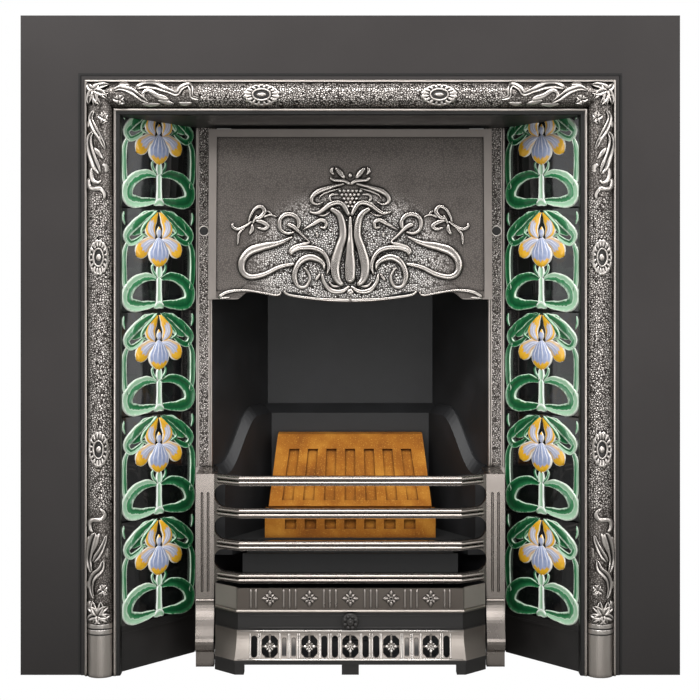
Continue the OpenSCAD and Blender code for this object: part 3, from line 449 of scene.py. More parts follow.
@dataclass(frozen=True)
class CoverIron(BurnishedIron):
    """The ash cover's iron: a dull band, a bright bead and flare, the strip and base left black, and painted
    shade in the lower part of the flutes.

    The band's cants are barely metal, because as metal they would mirror the green of the tiles; their
    lighter colour is a painted reflection.
    """

    strip: Flat = (64.0, 89.0)
    base: float = 21.0
    band_low: float = 94.6
    flutes: Flat = (90.0, 7.0)  # Middle of a pair and half the distance between the two
    flute_half: float = 3.4
    flute_rise: Flat = (27.5, 53.5)
    corner: float = 166.0
    cant_metal: float = 0.3

    def dress(self, make: Maker) -> dict[str, Any]:
        """Polish the flare and bead, dull the band with a painted reflection on its cants, black the strip
        and base, and shade the flutes.
        """
        band = make.ramp(make.z, self.band_low - 0.4, self.band_low + 0.4)
        cant = make.ramp(make.size(make.x), self.corner - 1.0, self.corner + 3.0)
        # Painted reflection: the cants are lighter than the band's front
        dull = make.mix(cant, "#5f5852", "#857e77")
        iron, rough = self.iron(make, make.mix(band, "#9b938c", dull))
        pair, gap = self.flutes
        off = make.size(make.minus(make.size(make.x), pair))
        flute = make.band(off, gap - self.flute_half, gap + self.flute_half, 0.3)
        flute = make.times(flute, make.band(make.z, *self.flute_rise, 1.5))
        # Painted shade: the flutes darken towards their foot
        flute_shade = make.times(flute, make.ramp(make.z, self.flute_rise[1] + 8, self.flute_rise[0] + 6))
        black = make.most(make.band(make.z, *self.strip, 0.3),
                          make.ramp(make.z, self.base + 0.4, self.base - 0.4))
        dark = make.most(black, flute_shade)
        return {"Base Color": make.mix(dark, iron, "#1d1b1a"),
                "Metallic": make.blend(dark, make.blend(make.times(cant, band), 1.0, self.cant_metal), 0.2),
                "Roughness": make.blend(dark, rough, 0.42), "Normal": make.bump(make.noise(1.2, 2), 0.05)}


@dataclass(frozen=True)
class ReliefIron(BurnishedIron):
    """Raised ornament of burnished iron: a painted highlight along each crest, and black lead with painted
    shade in its grooves and at its foot.
    """

    roughness: float = 0.26
    colour: str = "#d2cbc5"
    reach: float = 3.0
    crests: Flat = (0.35, 0.9)

    def dress(self, make: Maker) -> dict[str, Any]:
        """Paint a highlight on the crests, and black lead with painted shade in the grooves and at the foot
        of each stroke.
        """
        # Painted highlight and shade: black on a stroke's flanks, bright on its crest
        crest = make.ramp(make.attribute("crest"), *self.crests)
        iron, rough = self.iron(make, self.colour)
        return {"Base Color": make.mix(crest, self.black, iron), "Roughness": rough,
                "Normal": make.bump(make.noise(1.4, 2), 0.06)}


@dataclass(frozen=True)
class BlackGlaze(Finish):
    """Black majolica glaze: a wet gloss that pools a little proud in the middle of each tile."""

    roughness: float = 0.08
    splay: float = 50.0
    middle: float = -262.0
    pillow: float = 0.0018

    def dress(self, make: Maker) -> dict[str, Any]:
        """Give the glaze its domed pool and its waves."""
        turn = math.radians(self.splay)
        back = make.minus(make.times(make.y, math.sin(turn)),
                         make.times(make.size(make.x), math.cos(turn)))
        off = make.minus(back, self.middle)
        pool = make.times(make.times(off, off), -self.pillow)
        wave = make.noise(26, 1)
        colour = make.mix(make.ramp(wave, 0.4, 0.75), "#0a0b0c", "#141517")
        domed = make.bump(pool, 1.0)
        return {"Base Color": colour, "Coat Weight": 0.5, "Coat Roughness": 0.04,
                "Normal": make.bump(wave, 0.5, 0.6, normal=domed)}


@dataclass(frozen=True)
class LeafGlaze(Finish):
    """Green glaze pooled between raised lines: mint where it runs thin, deep green where it pools."""

    roughness: float = 0.14

    def dress(self, make: Maker) -> dict[str, Any]:
        """Run the glaze from thin to thick across each leaf, with streaks along it."""
        streak = make.noise(5, 2, (1, 1, 4))
        across = make.attribute("across")
        tint = make.attribute("tint")
        moved = make.plus(across, make.times(make.minus(streak, 0.5), 0.28))
        light = make.scale_ramp(moved, [(0.05, "#e6f2e2"), (0.95, "#cfe6d0"), (0.16, "#b2d8b8"),
                                        (0.4, "#9ccba7"), (0.47, "#cfe6d0"), (0.54, "#3a8a58"),
                                        (0.82, "#24683f")])
        deep = make.scale_ramp(moved, [(0.04, "#cfe6d0"), (0.96, "#bfdcc4"), (0.11, "#2f7f4e"),
                                       (0.4, "#145a33"), (0.65, "#0f4a2a"), (0.88, "#2a7a49")])
        pale = make.scale_ramp(across, [(0.1, "#eaf4e8"), (0.9, "#f1f7ef"), (0.3, "#a9cfae"),
                                        (0.6, "#8fbd97")])
        leaf = make.mix(tint, light, deep)
        return {"Base Color": make.mix(make.ramp(tint, 1.4, 1.6), leaf, pale), "Coat Weight": 0.6,
                "Coat Roughness": 0.05}


@dataclass(frozen=True)
class PetalGlaze(Finish):
    """Lavender glaze with white veins and a border of amber, as on painted iris petals."""

    roughness: float = 0.16
    veins: float = 5.0

    def dress(self, make: Maker) -> dict[str, Any]:
        """Vein the petal, edge it with white and tip it with amber."""
        across = make.attribute("across")
        along = make.attribute("along")
        tint = make.attribute("tint")
        off = make.size(make.minus(make.times(across, 2.0), 1.0))
        wave = make.math("COSINE", make.times(across, self.veins * math.tau))
        vein = make.times(make.ramp(wave, 0.45, 0.95), make.ramp(along, 0.8, 0.3))
        cloud = make.noise(6, 2)
        ground = make.mix(cloud, "#7c8bb4", "#b0bcdc")
        pale = make.mix(make.times(tint, 0.75), ground, "#d0cfdd")
        lined = make.mix(vein, pale, "#eeeef6")
        reach = make.plus(along, make.times(tint, 0.16))
        ragged = make.plus(make.times(off, 0.14), make.times(wave, 0.03))
        tip = make.ramp(make.plus(reach, ragged), 0.76, 0.84)
        rim = make.ramp(off, 0.4, 0.6)
        side = make.times(rim, tint)
        gold = make.mix(cloud, "#e2a010", "#f5c53c")
        coloured = make.mix(make.most(tip, side), lined, gold)
        edge = make.ramp(off, 0.8, 0.92)
        return {"Base Color": make.mix(edge, coloured, "#f3efe6"),
                "Coat Weight": 0.6, "Coat Roughness": 0.05}


@dataclass(frozen=True)
class FireClay(Finish):
    """Pressed fire clay: a dry, sandy orange brown, with painted shade in its recesses."""

    roughness: float = 0.88

    def dress(self, make: Maker) -> dict[str, Any]:
        """Cloud the clay, speckle it with grog and paint shade into its recesses."""
        cloud = make.noise(38, 4)
        base = make.scale_ramp(cloud, [(0.25, "#7d4712"), (0.8, "#bf842f"), (0.5, "#9c601a")])
        speck = make.ramp(make.noise(1.6, 1), 0.6, 0.75)
        grog = make.mix(speck, base, "#c9923f")
        # Painted shade: the clay goes dark brown in its recesses
        recess_shade = make.ramp(make.hollow(14), 0.25, 0.85)
        return {"Base Color": make.mix(recess_shade, "#5b3410", grog), "Specular IOR Level": 0.25,
                "Normal": make.bump(make.noise(1.3, 3), 0.35)}


@dataclass(frozen=True)
class BrightSteel(Finish):
    """Turned and zinc plated steel: an even bright grey with fine lines of the tool."""

    metallic: float = 1.0
    roughness: float = 0.28

    def dress(self, make: Maker) -> dict[str, Any]:
        """Leave the tool's lines in the steel."""
        lines = make.noise(0.7, 1, (8, 1, 1))
        return {"Base Color": make.mix(lines, "#b9b8b4", "#d6d5d1"),
                "Normal": make.bump(lines, 0.02)}


@dataclass(frozen=True)
class StovePaint(Finish):
    """Sheet steel in heat proof black paint: an even satin skin with a light orange peel."""

    roughness: float = 0.5

    def dress(self, make: Maker) -> dict[str, Any]:
        """Add the paint's orange peel."""
        peel = make.noise(2.5, 2)
        return {"Base Color": make.mix(peel, "#202022", "#2c2c2f"),
                "Normal": make.bump(peel, 0.06)}


@dataclass(frozen=True)
class StudioPaper(Finish):
    """Studio paper, lit from behind so that the camera sees plain white."""

    roughness: float = 0.9

    def dress(self, make: Maker) -> dict[str, Any]:
        """Show white to the camera and pale grey to the fireplace."""
        seen = add_node(make.tree, "LightPath").outputs["Is Camera Ray"]
        grey = make.mix(make.noise(900, 1), "#8e8e8c", "#999997")
        return {"Base Color": make.mix(seen, grey, "#000000"), "Specular IOR Level": 0.0,
                "Emission Color": "#ffffff", "Emission Strength": seen}


BLACK_LEADED = BlackLeadedIron("Black leaded iron")
# A darker copy of the black leaded iron: painted shade on the soffit and the tile trays, and the screws' own
# dark tone
DARK_AND_SHADED_IRON = BlackLeadedIron("Dark and shaded iron", colour="#131110", worn="#1d1a19")
BURNISHED_RELIEF = ReliefIron("Burnished relief")
BRIGHT_STEEL = BrightSteel("Bright steel")


# ---- Raised strokes ----


class Section(Enum):
    """Cross section of a raised stroke, as heights at even steps from one edge to the other."""

    ROUND = (0.0, 0.62, 0.84, 0.96, 1.0, 0.96, 0.84, 0.62, 0.0)
    GROOVED = (0.0, 0.8, 1.0, 0.75, 0.3, 0.75, 1.0, 0.8, 0.0)
    VEINED = (0.0, 0.45, 0.6, 0.75, 1.0, 0.75, 0.6, 0.45, 0.0)
    TUBE_LINED = (0.0, 0.95, 0.75, 0.45, 0.4, 0.45, 0.75, 0.95, 0.0)
    LOBED = (0.0, 0.85, 0.6, 0.95, 0.7, 0.95, 0.6, 0.85, 0.0)
    FLAT = (0.0, 0.9, 1.0, 1.0, 1.0, 1.0, 1.0, 0.9, 0.0)


@dataclass(frozen=True)
class Stroke:
    """One raised stroke of an ornament, a smooth line with a swelling width.

    Attributes:
        line: Points that the stroke passes, across and up, in millimetres.
        width: Full widths at even steps along the stroke, in millimetres.
        rise: Height of the crest over the ground at the widest place, in millimetres.
        section: Cross section.
        tint: Number from 0 to 1 that the finish reads.
        slot: Number of the finish in the piece that gets the stroke.
        lift: Height of the ground under the stroke, where strokes cross.
        sink: Depth to which the stroke's foot goes under the ground.
        closed: True for a ring, whose last point is its first.
    """

    line: tuple[Flat, ...]
    width: tuple[float, ...]
    rise: float = 2.0
    section: Section = Section.ROUND
    tint: float = 0.0
    slot: int = 0
    lift: float = 0.0
    sink: float = 0.7
    closed: bool = False

    def flipped(self, tint: float | None = None) -> "Stroke":
        """Return the stroke mirrored from left to right, with its own tint or a new one."""
        line = tuple((-across, up) for across, up in self.line)
        return replace(self, line=line, tint=self.tint if tint is None else tint)

    def bolder(self, wide: float, high: float) -> "Stroke":
        """Return the stroke wider and higher by a share."""
        return replace(self, width=tuple(w * wide for w in self.width), rise=self.rise * high)


def smooth_line(points: Sequence[Flat], step: float, closed: bool = False) -> list[Vector]:
    """Run a smooth line through points.

    Args:
        points: Points that the line passes.
        step: Distance between the new points, about.
        closed: True where the line ends on its first point.

    Returns:
        New points, a little closer than step.
    """
    ends = [Vector(p) for p in points]
    before = ends[-2] if closed else 2 * ends[0] - ends[1]
    after = ends[1] if closed else 2 * ends[-1] - ends[-2]
    knots = [before, *ends, after]
    line: list[Vector] = []
    for a, b, c, d in zip(knots, knots[1:], knots[2:], knots[3:]):
        count = max(2, math.ceil((c - b).length / step))
        for i in range(count):
            t = i / count
            line.append(0.5 * (2 * b + (c - a) * t + (2 * a - 5 * b + 4 * c - d) * t * t
                               + (3 * b - a - 3 * c + d) * t ** 3))
    line.append(ends[-1])
    return line


def at_share(values: Sequence[float], share: float) -> float:
    """Return the value at a share of the way along evenly spaced values, eased between them."""
    if len(values) == 1:
        return values[0]
    place = min(max(share, 0.0), 1.0) * (len(values) - 1)
    low = min(int(place), len(values) - 2)
    part = place - low
    part = part * part * (3 - 2 * part)
    return values[low] * (1 - part) + values[low + 1] * part


class Relief:
    """One mesh of raised ornament on a surface of the fireplace."""

    layers = ("across", "along", "crest", "tint")

    def __init__(self, name: str, body: str, finishes: Sequence[Finish], slot: str) -> None:
        """Start an empty piece.

        Args:
            name: Name of the piece.
            body: Body that it moves with.
            finishes: Finishes that strokes choose by number.
            slot: The record's material slot. It is not used.
        """
        self.name, self.body, self.finishes, self.slot = name, body, finishes, slot
        self.mesh = bpy.data.meshes.new(name)
        self.whole = self._start()

    def _start(self) -> bmesh.types.BMesh:
        """Return an empty bmesh with the layers that the finishes read."""
        part = bmesh.new()
        for layer in self.layers:
            part.verts.layers.float.new(layer)
        return part

    def _mark(self, part: bmesh.types.BMesh, vert: bmesh.types.BMVert, *numbers: float) -> None:
        """Write a point's numbers for across, along, crest and tint."""
        for layer, number in zip(self.layers, numbers):
            vert[part.verts.layers.float[layer]] = number

    def _take(self, part: bmesh.types.BMesh, place: Placer, slot: int) -> None:
        """Bend a part onto the surface and add it to the piece."""
        for vert in part.verts:
            vert.co = place(*vert.co)  # From across, up and height to the scene
        for face in part.faces:
            face.smooth = True
            face.material_index = slot
        part.normal_update()
        bmesh.ops.recalc_face_normals(part, faces=part.faces)
        part.to_mesh(self.mesh)
        self.whole.from_mesh(self.mesh)
        part.free()

    def stroke(self, stroke: Stroke, place: Placer, step: float = 2.5) -> None:
        """Sweep a stroke's section along its line.

        Args:
            stroke: The stroke.
            place: Turns across, up and height in millimetres into a point of the scene.
            step: Distance between sections.
        """
        line = smooth_line(stroke.line, step, stroke.closed)
        run = [0.0]
        for a, b in zip(line, line[1:]):
            run.append(run[-1] + (b - a).length)
        total, widest = run[-1], max(stroke.width)
        heights = stroke.section.value
        last = len(heights) - 1
        part = self._start()
        order = part.verts.layers.int.new("order")
        ring = bmesh.ops.create_circle(part, segments=last + 3, radius=1.0, cap_ends=True)["verts"]
        for number, vert in enumerate(ring):
            vert[order] = number
        bottom = -stroke.sink / max(stroke.rise, 0.1)
        shape = [(-math.cos(math.pi * k / last), h) for k, h in enumerate(heights)]
        shape += [(1.0, bottom), (-1.0, bottom)]
        face = part.faces[:][0]
        for number, here in enumerate(line):
            if number:
                made = bmesh.ops.extrude_face_region(part, geom=[face])["geom"]
                if number > 1 or stroke.closed:
                    bmesh.ops.delete(part, geom=[face], context="FACES_ONLY")
                ring = [item for item in made if isinstance(item, bmesh.types.BMVert)]
                face = next(item for item in made if isinstance(item, bmesh.types.BMFace))
            ahead = line[min(number + 1, len(line) - 1)] - line[max(number - 1, 0)]
            if stroke.closed and number in (0, len(line) - 1):
                ahead = line[1] - line[-2]
            side = Vector((-ahead.y, ahead.x)).normalized()
            width = at_share(stroke.width, run[number] / total)
            end = min(run[number], total - run[number])
            if end < width / 2 and not stroke.closed:
                width *= math.sqrt(max(0.03, 1 - (1 - 2 * end / width) ** 2))
            rise = stroke.rise * math.sqrt(min(1.0, width / (0.6 * widest)))
            for vert in ring:
                off, high = shape[vert[order]]
                flat = here + side * off * width / 2
                vert.co = (flat.x, flat.y, stroke.lift + high * rise)
                self._mark(part, vert, (off + 1) / 2, run[number] / total, max(high, 0.0), stroke.tint)
        if stroke.closed:
            bmesh.ops.delete(part, geom=[face], context="FACES_ONLY")
        bmesh.ops.remove_doubles(part, verts=part.verts, dist=1e-5)
        self._take(part, place, stroke.slot)

    def lay(self, strokes: Iterable[Stroke], place: Placer, step: float = 2.5) -> None:
        """Sweep several strokes, one after another."""
        for one in strokes:
            self.stroke(one, place, step)

    def boss(self, across: float, up: float, radii: Flat, rise: float, place: Placer, slot: int = 0) -> None:
        """Add a round or oval boss, half sunk in the ground.

        Args:
            across: Place across, in millimetres.
            up: Place up, in millimetres.
            radii: Half widths across and up.
            rise: Height over the ground.
            place: As for a stroke.
            slot: Number of the finish.
        """
        part = self._start()
        bmesh.ops.create_icosphere(part, subdivisions=2, radius=1.0)
        for vert in part.verts:
            self._mark(part, vert, 0.5, 0.3, min(1.0, max(1.4 * vert.co.z, 0.0)), 0.0)
        bmesh.ops.scale(part, vec=(*radii, rise), verts=part.verts)
        bmesh.ops.translate(part, vec=(across, up, 0.0), verts=part.verts)
        self._take(part, place, slot)

    def cut_over(self, top: float) -> None:
        """Cut off and close what stands over a height in millimetres."""
        whole = [*self.whole.verts, *self.whole.edges, *self.whole.faces]
        cut = bmesh.ops.bisect_plane(self.whole, geom=whole, plane_co=(0, 0, top * MM), plane_no=(0, 0, 1),
                                     clear_outer=True)
        rims = [item for item in cut["geom_cut"] if isinstance(item, bmesh.types.BMEdge)]
        bmesh.ops.triangle_fill(self.whole, edges=rims, use_beauty=True, normal=(0, 0, 1))

    def finish(self) -> None:
        """Make the piece's object, dress it and let it ride."""
        self.whole.to_mesh(self.mesh)
        self.whole.free()
        for finish in self.finishes:
            self.mesh.materials.append(finish.material())
        piece = bpy.data.objects.new(self.name, self.mesh)
        bpy.context.collection.objects.link(piece)
        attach(piece, self.body)
        log.info("%s: %d faces", self.name, len(self.mesh.polygons))


def both(strokes: Iterable[Stroke], tint: float | None = None) -> list[Stroke]:
    """Return strokes and their mirror images, which take a new tint if one is given."""
    return [stroke for one in strokes for stroke in (one, one.flipped(tint))]


def oval(centre: Flat, radii: Flat, steps: int) -> tuple[Flat, ...]:
    """Return the points of an oval, with its first point once more at the end."""
    turns = (math.tau * step / steps for step in range(steps + 1))
    return tuple((centre[0] + radii[0] * math.cos(a), centre[1] + radii[1] * math.sin(a)) for a in turns)


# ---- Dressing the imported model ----


def dress(finish: Finish, *nodes: str) -> None:
    """Give every face of the named nodes one finish."""
    for name in nodes:
        mesh = frame["nodes"][name].data
        if not mesh.materials:
            mesh.materials.append(finish.material())
        for number in range(len(mesh.materials)):
            mesh.materials[number] = finish.material()


@cache
def corners(node: str) -> tuple[Vector, Vector]:
    """Return the lowest and highest corner of a node, in millimetres."""
    low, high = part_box(node)
    return low / MM, high / MM


def world(across: float, back: float, up: float) -> Vector:
    """Return a place given in millimetres as a point of the scene."""
    return Vector((across, back, up)) * MM


@dataclass(frozen=True)
class Surround:
    """The surround casting: a plain border, a moulding of cast leaves and flowers, and its plain feet.

    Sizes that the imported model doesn't give as a box are the ones in the part's source, in millimetres.
    """

    border_w: float = 94.5
    moulding_w: float = 46.0
    return_t: float = 6.0
    crown: float = 18.0
    edge: float = 5.0
    bead: float = 4.5
    rosette: Flat = (27.5, 15.8)
    disc: Flat = (1.06, 0.9)  # Share of the rosette, height
    rosette_petals: int = 16
    rosette_petal: tuple[tuple[float, ...], float] = ((2.5, 4.5, 8), 3.0)
    rosette_rings: tuple[Three, ...] = ((0.86, 3.2, 2.6), (0.47, 3.0, 3.4))  # Share, width, height
    ring_steps: int = 24
    button: Three = (0.3, 0.22, 3.2)  # Shares of the rosette's length and width, height
    side_rosettes: tuple[float, ...] = (332.0, 611.0)
    top_rosette: float = 129.0
    fillets: Flat = (66.4, 74.6)
    fillet_w: float = 6.4
    bold: Flat = (1.4, 1.15)  # How much wider and higher the sprays are cast than drawn
    flatter: float = 0.4
    lily_w: float = 11.0
    bud_w: float = 9.5

    # A spray that starts in the corner. Points are inward and down from the moulding's outer corner.
    corner_top = (
        Stroke(((43, 17.5), (55, 14), (69, 18), (82.5, 26.5), (96, 34)), (3, 6, 7, 6, 3), 3.0,
               Section.GROOVED),
        Stroke(((50, 9), (58, 7), (67, 9.6)), (3, 5, 2), 2.2),
        Stroke(((76.5, 14.5), (88.6, 10), (105, 11), (122, 17.5), (136, 22), (142, 14.5), (152, 9.6),
                (157, 16), (158, 26), (169, 29)), (5, 8, 9, 8, 5, 5, 6, 5, 4, 3), 3.4, Section.GROOVED),
        Stroke(((88.6, 29), (87, 22), (92, 17), (99, 19), (108, 25), (125, 30)), (3, 4, 5, 5, 6, 3), 2.8),
        Stroke(((108, 31), (119, 33), (132, 35.5)), (2, 5, 2), 2.0),
        Stroke(((84, 36), (98, 37), (112, 36)), (2, 4, 2), 1.6),
        Stroke(((138, 34), (148, 36), (158, 34)), (2, 4, 2), 1.6),
    )
    corner_side = (
        Stroke(((16, 46), (12, 56), (14.5, 66), (21, 79), (28, 91), (34, 103)), (3, 5, 6, 6, 5, 2), 3.0,
               Section.GROOVED),
        Stroke(((15, 76.5), (9.6, 86), (9.6, 98), (14, 113), (19, 126), (25, 139)), (3, 7, 8, 8, 9, 4), 3.4,
               Section.GROOVED),
        Stroke(((16, 99), (22, 107), (31, 117.5)), (2, 5, 2), 2.6),
        Stroke(((27, 126), (33, 126), (35, 131), (32, 137)), (2, 5, 5, 2), 2.4),
        Stroke(((8, 60), (7, 66), (8, 71)), (2, 4, 2), 1.8),
        Stroke(((21, 87), (26, 86), (30, 89)), (2, 4, 2), 1.8),
        Stroke(((8, 144), (9, 156), (16, 160), (26, 160), (32, 168), (31, 176)), (4, 5, 5, 5, 4, 2), 2.8),
        Stroke(((13, 128), (12, 139), (15, 148), (22, 151), (27, 147)), (2, 5, 5, 4, 2), 2.4),
    )
    corner_petals = ((5, 6), (21, 5.5), (38, 8), (39, 20), (36, 30), (26, 39), (16, 40), (7.5, 38), (5, 24))
    corner_lily = (14.0, 16.0)
    corner_buds = (((52, 31), ((43, 28), (50, 23), (60, 26), (61, 35), (50, 38))),
                   ((30, 57), ((22, 52), (28, 47), (37, 51), (37, 61), (27, 66))))

    # A stem with lilies at the foot of each side. Points are inward from the outer edge, then up.
    foot_spray = (
        Stroke(((24, 247), (30, 242), (32, 235), (25.5, 230), (15, 230), (10, 225.5), (11, 216),
                (15, 212)), (2, 4, 5, 5, 5, 5, 4, 3), 2.8),
        Stroke(((18, 211), (13.5, 198), (10, 183), (9, 169), (13, 152)), (6, 8, 8, 6, 3), 3.4,
               Section.GROOVED),
        Stroke(((24, 211), (18, 195), (13.5, 181)), (3, 6, 3), 2.8),
        Stroke(((34, 207), (33, 200), (29, 190.5), (22, 178.5), (15, 168)), (3, 5, 7, 7, 3), 3.0,
               Section.GROOVED),
        Stroke(((30, 171), (27, 159), (18, 150), (13, 140), (13, 125.5), (16.5, 115)),
               (4, 8, 8, 6, 4, 2), 3.2, Section.GROOVED),
        Stroke(((7.5, 140), (6, 134), (8, 128)), (2, 4, 2), 1.8),
        Stroke(((36, 188), (37, 180), (34, 174)), (2, 4, 2), 1.8),
        Stroke(((8, 205), (6, 198), (7, 190)), (2, 4, 2), 1.8),
        Stroke(((10, 112), (8, 105), (11, 99)), (2, 5, 2), 2.0),
    )
    foot_petals = ((5, 103), (14, 112), (26, 112), (37, 104), (40, 92), (37, 81), (27, 79), (15, 79),
                   (5, 84))
    foot_lily = (21, 91)
    foot_bud = ((29, 128), ((21, 122), (28, 118), (37, 123), (36, 134), (25, 136)))

    def measure(self) -> Three:
        """Return the opening's half width and height, and the depth of the flat face."""
        low, high = corners("surround_frame")
        inset = self.border_w + self.moulding_w + self.return_t
        return high.x - inset, high.z - inset, low.y + self.crown

    def shoulder(self, across: float, up: float) -> tuple[float, float, bool]:
        """Return the round face's radius and turn at a point, and whether that lies on the top bar."""
        half, top, _ = self.measure()
        reach = self.moulding_w / 2 - self.bead
        swell = self.crown - self.edge
        radius = (reach * reach + swell * swell) / (2 * swell)
        side, over = abs(across) - half, up - top
        off = max(side, over) - self.return_t - self.moulding_w / 2
        return radius, math.asin(min(max(off, -reach), reach) / radius), over > side

    def place(self, across: float, up: float, height: float) -> Vector:
        """Wrap a point of the front view onto the moulding's round face."""
        radius, angle, over = self.shoulder(across, up)
        lean = height * math.sin(angle)
        if over:
            up += lean
        else:
            across += math.copysign(lean, across)
        front = self.measure()[2] - self.crown
        return world(across, front + radius - (radius + height) * math.cos(angle), up)

    def place_flower(self, across: float, up: float, height: float) -> Vector:
        """Put a point of a flower on a flatter dome that rides over the moulding's round face."""
        radius, angle, _ = self.shoulder(across, up)
        front = self.measure()[2] - self.crown
        return world(across, front + self.flatter * radius * (1 - math.cos(angle)) - height, up)

    def inked(self, strokes: Iterable[Stroke], downward: bool) -> list[Stroke]:
        """Return strokes, given from the moulding's outer edge, as strokes of both sides."""
        half, top, _ = self.measure()
        edge = half + self.return_t + self.moulding_w
        over = top + self.return_t + self.moulding_w
        return both(replace(one, line=tuple((x - edge, over - y if downward else y) for x, y in one.line))
                    for one in strokes)

    @staticmethod
    def lily(centre: Flat, tips: Sequence[Flat], wide: float) -> list[Stroke]:
        """Return the petals of a lily, one from its centre to each tip."""
        petals = []
        for number, tip in enumerate(tips):
            start, end = Vector(centre), Vector(tip)
            bow = Vector((start.y - end.y, end.x - start.x)) * (0.1 if number % 2 else -0.1)
            middle = (start + end) / 2 + bow
            widths = (0.4 * wide, wide, 0.8 * wide, 2)
            petals.append(Stroke((tuple(start), tuple(middle), tuple(end)), widths, 0.36 * wide,
                                 Section.GROOVED, sink=4.5))
        return petals

    def rosettes(self, relief: Relief) -> None:
        """Add the oval rosettes, whose long way follows the moulding."""
        half, top, _ = self.measure()
        middle = self.return_t + self.moulding_w / 2
        spots = [(sign * self.top_rosette, top + middle, True) for sign in (-1, 1)]
        spots += [(sign * (half + middle), up, False) for sign in (-1, 1) for up in self.side_rosettes]
        disc, disc_rise = self.disc
        long_share, wide_share, button_rise = self.button
        for across, up, lying in spots:
            long, wide = self.rosette if lying else self.rosette[::-1]
            at = Vector((across, up))
            relief.boss(across, up, (long * disc, wide * disc), disc_rise, self.place, slot=1)
            for number in range(self.rosette_petals):
                angle = math.tau * (number + 0.5) / self.rosette_petals
                turn = Vector((math.cos(angle) * long, math.sin(angle) * wide))
                relief.stroke(Stroke((tuple(at + turn * 0.5), tuple(at + turn)), *self.rosette_petal),
                              self.place)
            for share, width, rise in self.rosette_rings:
                ring = oval((across, up), (long * share, wide * share), self.ring_steps)
                relief.stroke(Stroke(ring, (width,), rise, closed=True), self.place)
            relief.boss(across, up, (long * long_share, wide * wide_share), button_rise, self.place)

    def build(self) -> None:
        """Dress the casting and lay its relief."""
        half, top, face = self.measure()
        inner = self.return_t + self.bead
        outer = self.return_t + self.moulding_w - self.bead
        dress(MouldingIron("Burnished moulding, black border", colour="#bfb7b0", dull="#5b5551",
                           tops="#d6cfc9", pebble=3.3, half=half, top=top, inner=inner, outer=outer,
                           face=face), "surround_frame")
        relief = Relief("surround_relief", "root", [BURNISHED_RELIEF, BLACK_LEADED], "surround_iron")
        sprays = [one.bolder(*self.bold) for one in (*self.corner_top, *self.corner_side)]
        feet = [one.bolder(*self.bold) for one in self.foot_spray]
        relief.lay(self.inked(sprays, True) + self.inked(feet, False), self.place)
        corner = self.lily(self.corner_lily, self.corner_petals, self.lily_w)
        for bud in self.corner_buds:
            corner += self.lily(*bud, self.bud_w)
        foot = self.lily(self.foot_lily, self.foot_petals, self.lily_w)
        foot += self.lily(*self.foot_bud, self.bud_w)
        relief.lay(self.inked(corner, True) + self.inked(foot, False), self.place_flower)
        fillets = [Stroke(((self.bead, up), (self.moulding_w - self.bead, up)), (self.fillet_w,), 1.0,
                          Section.FLAT) for up in self.fillets]
        relief.lay(self.inked(fillets, False), self.place)
        self.rosettes(relief)
        relief.finish()


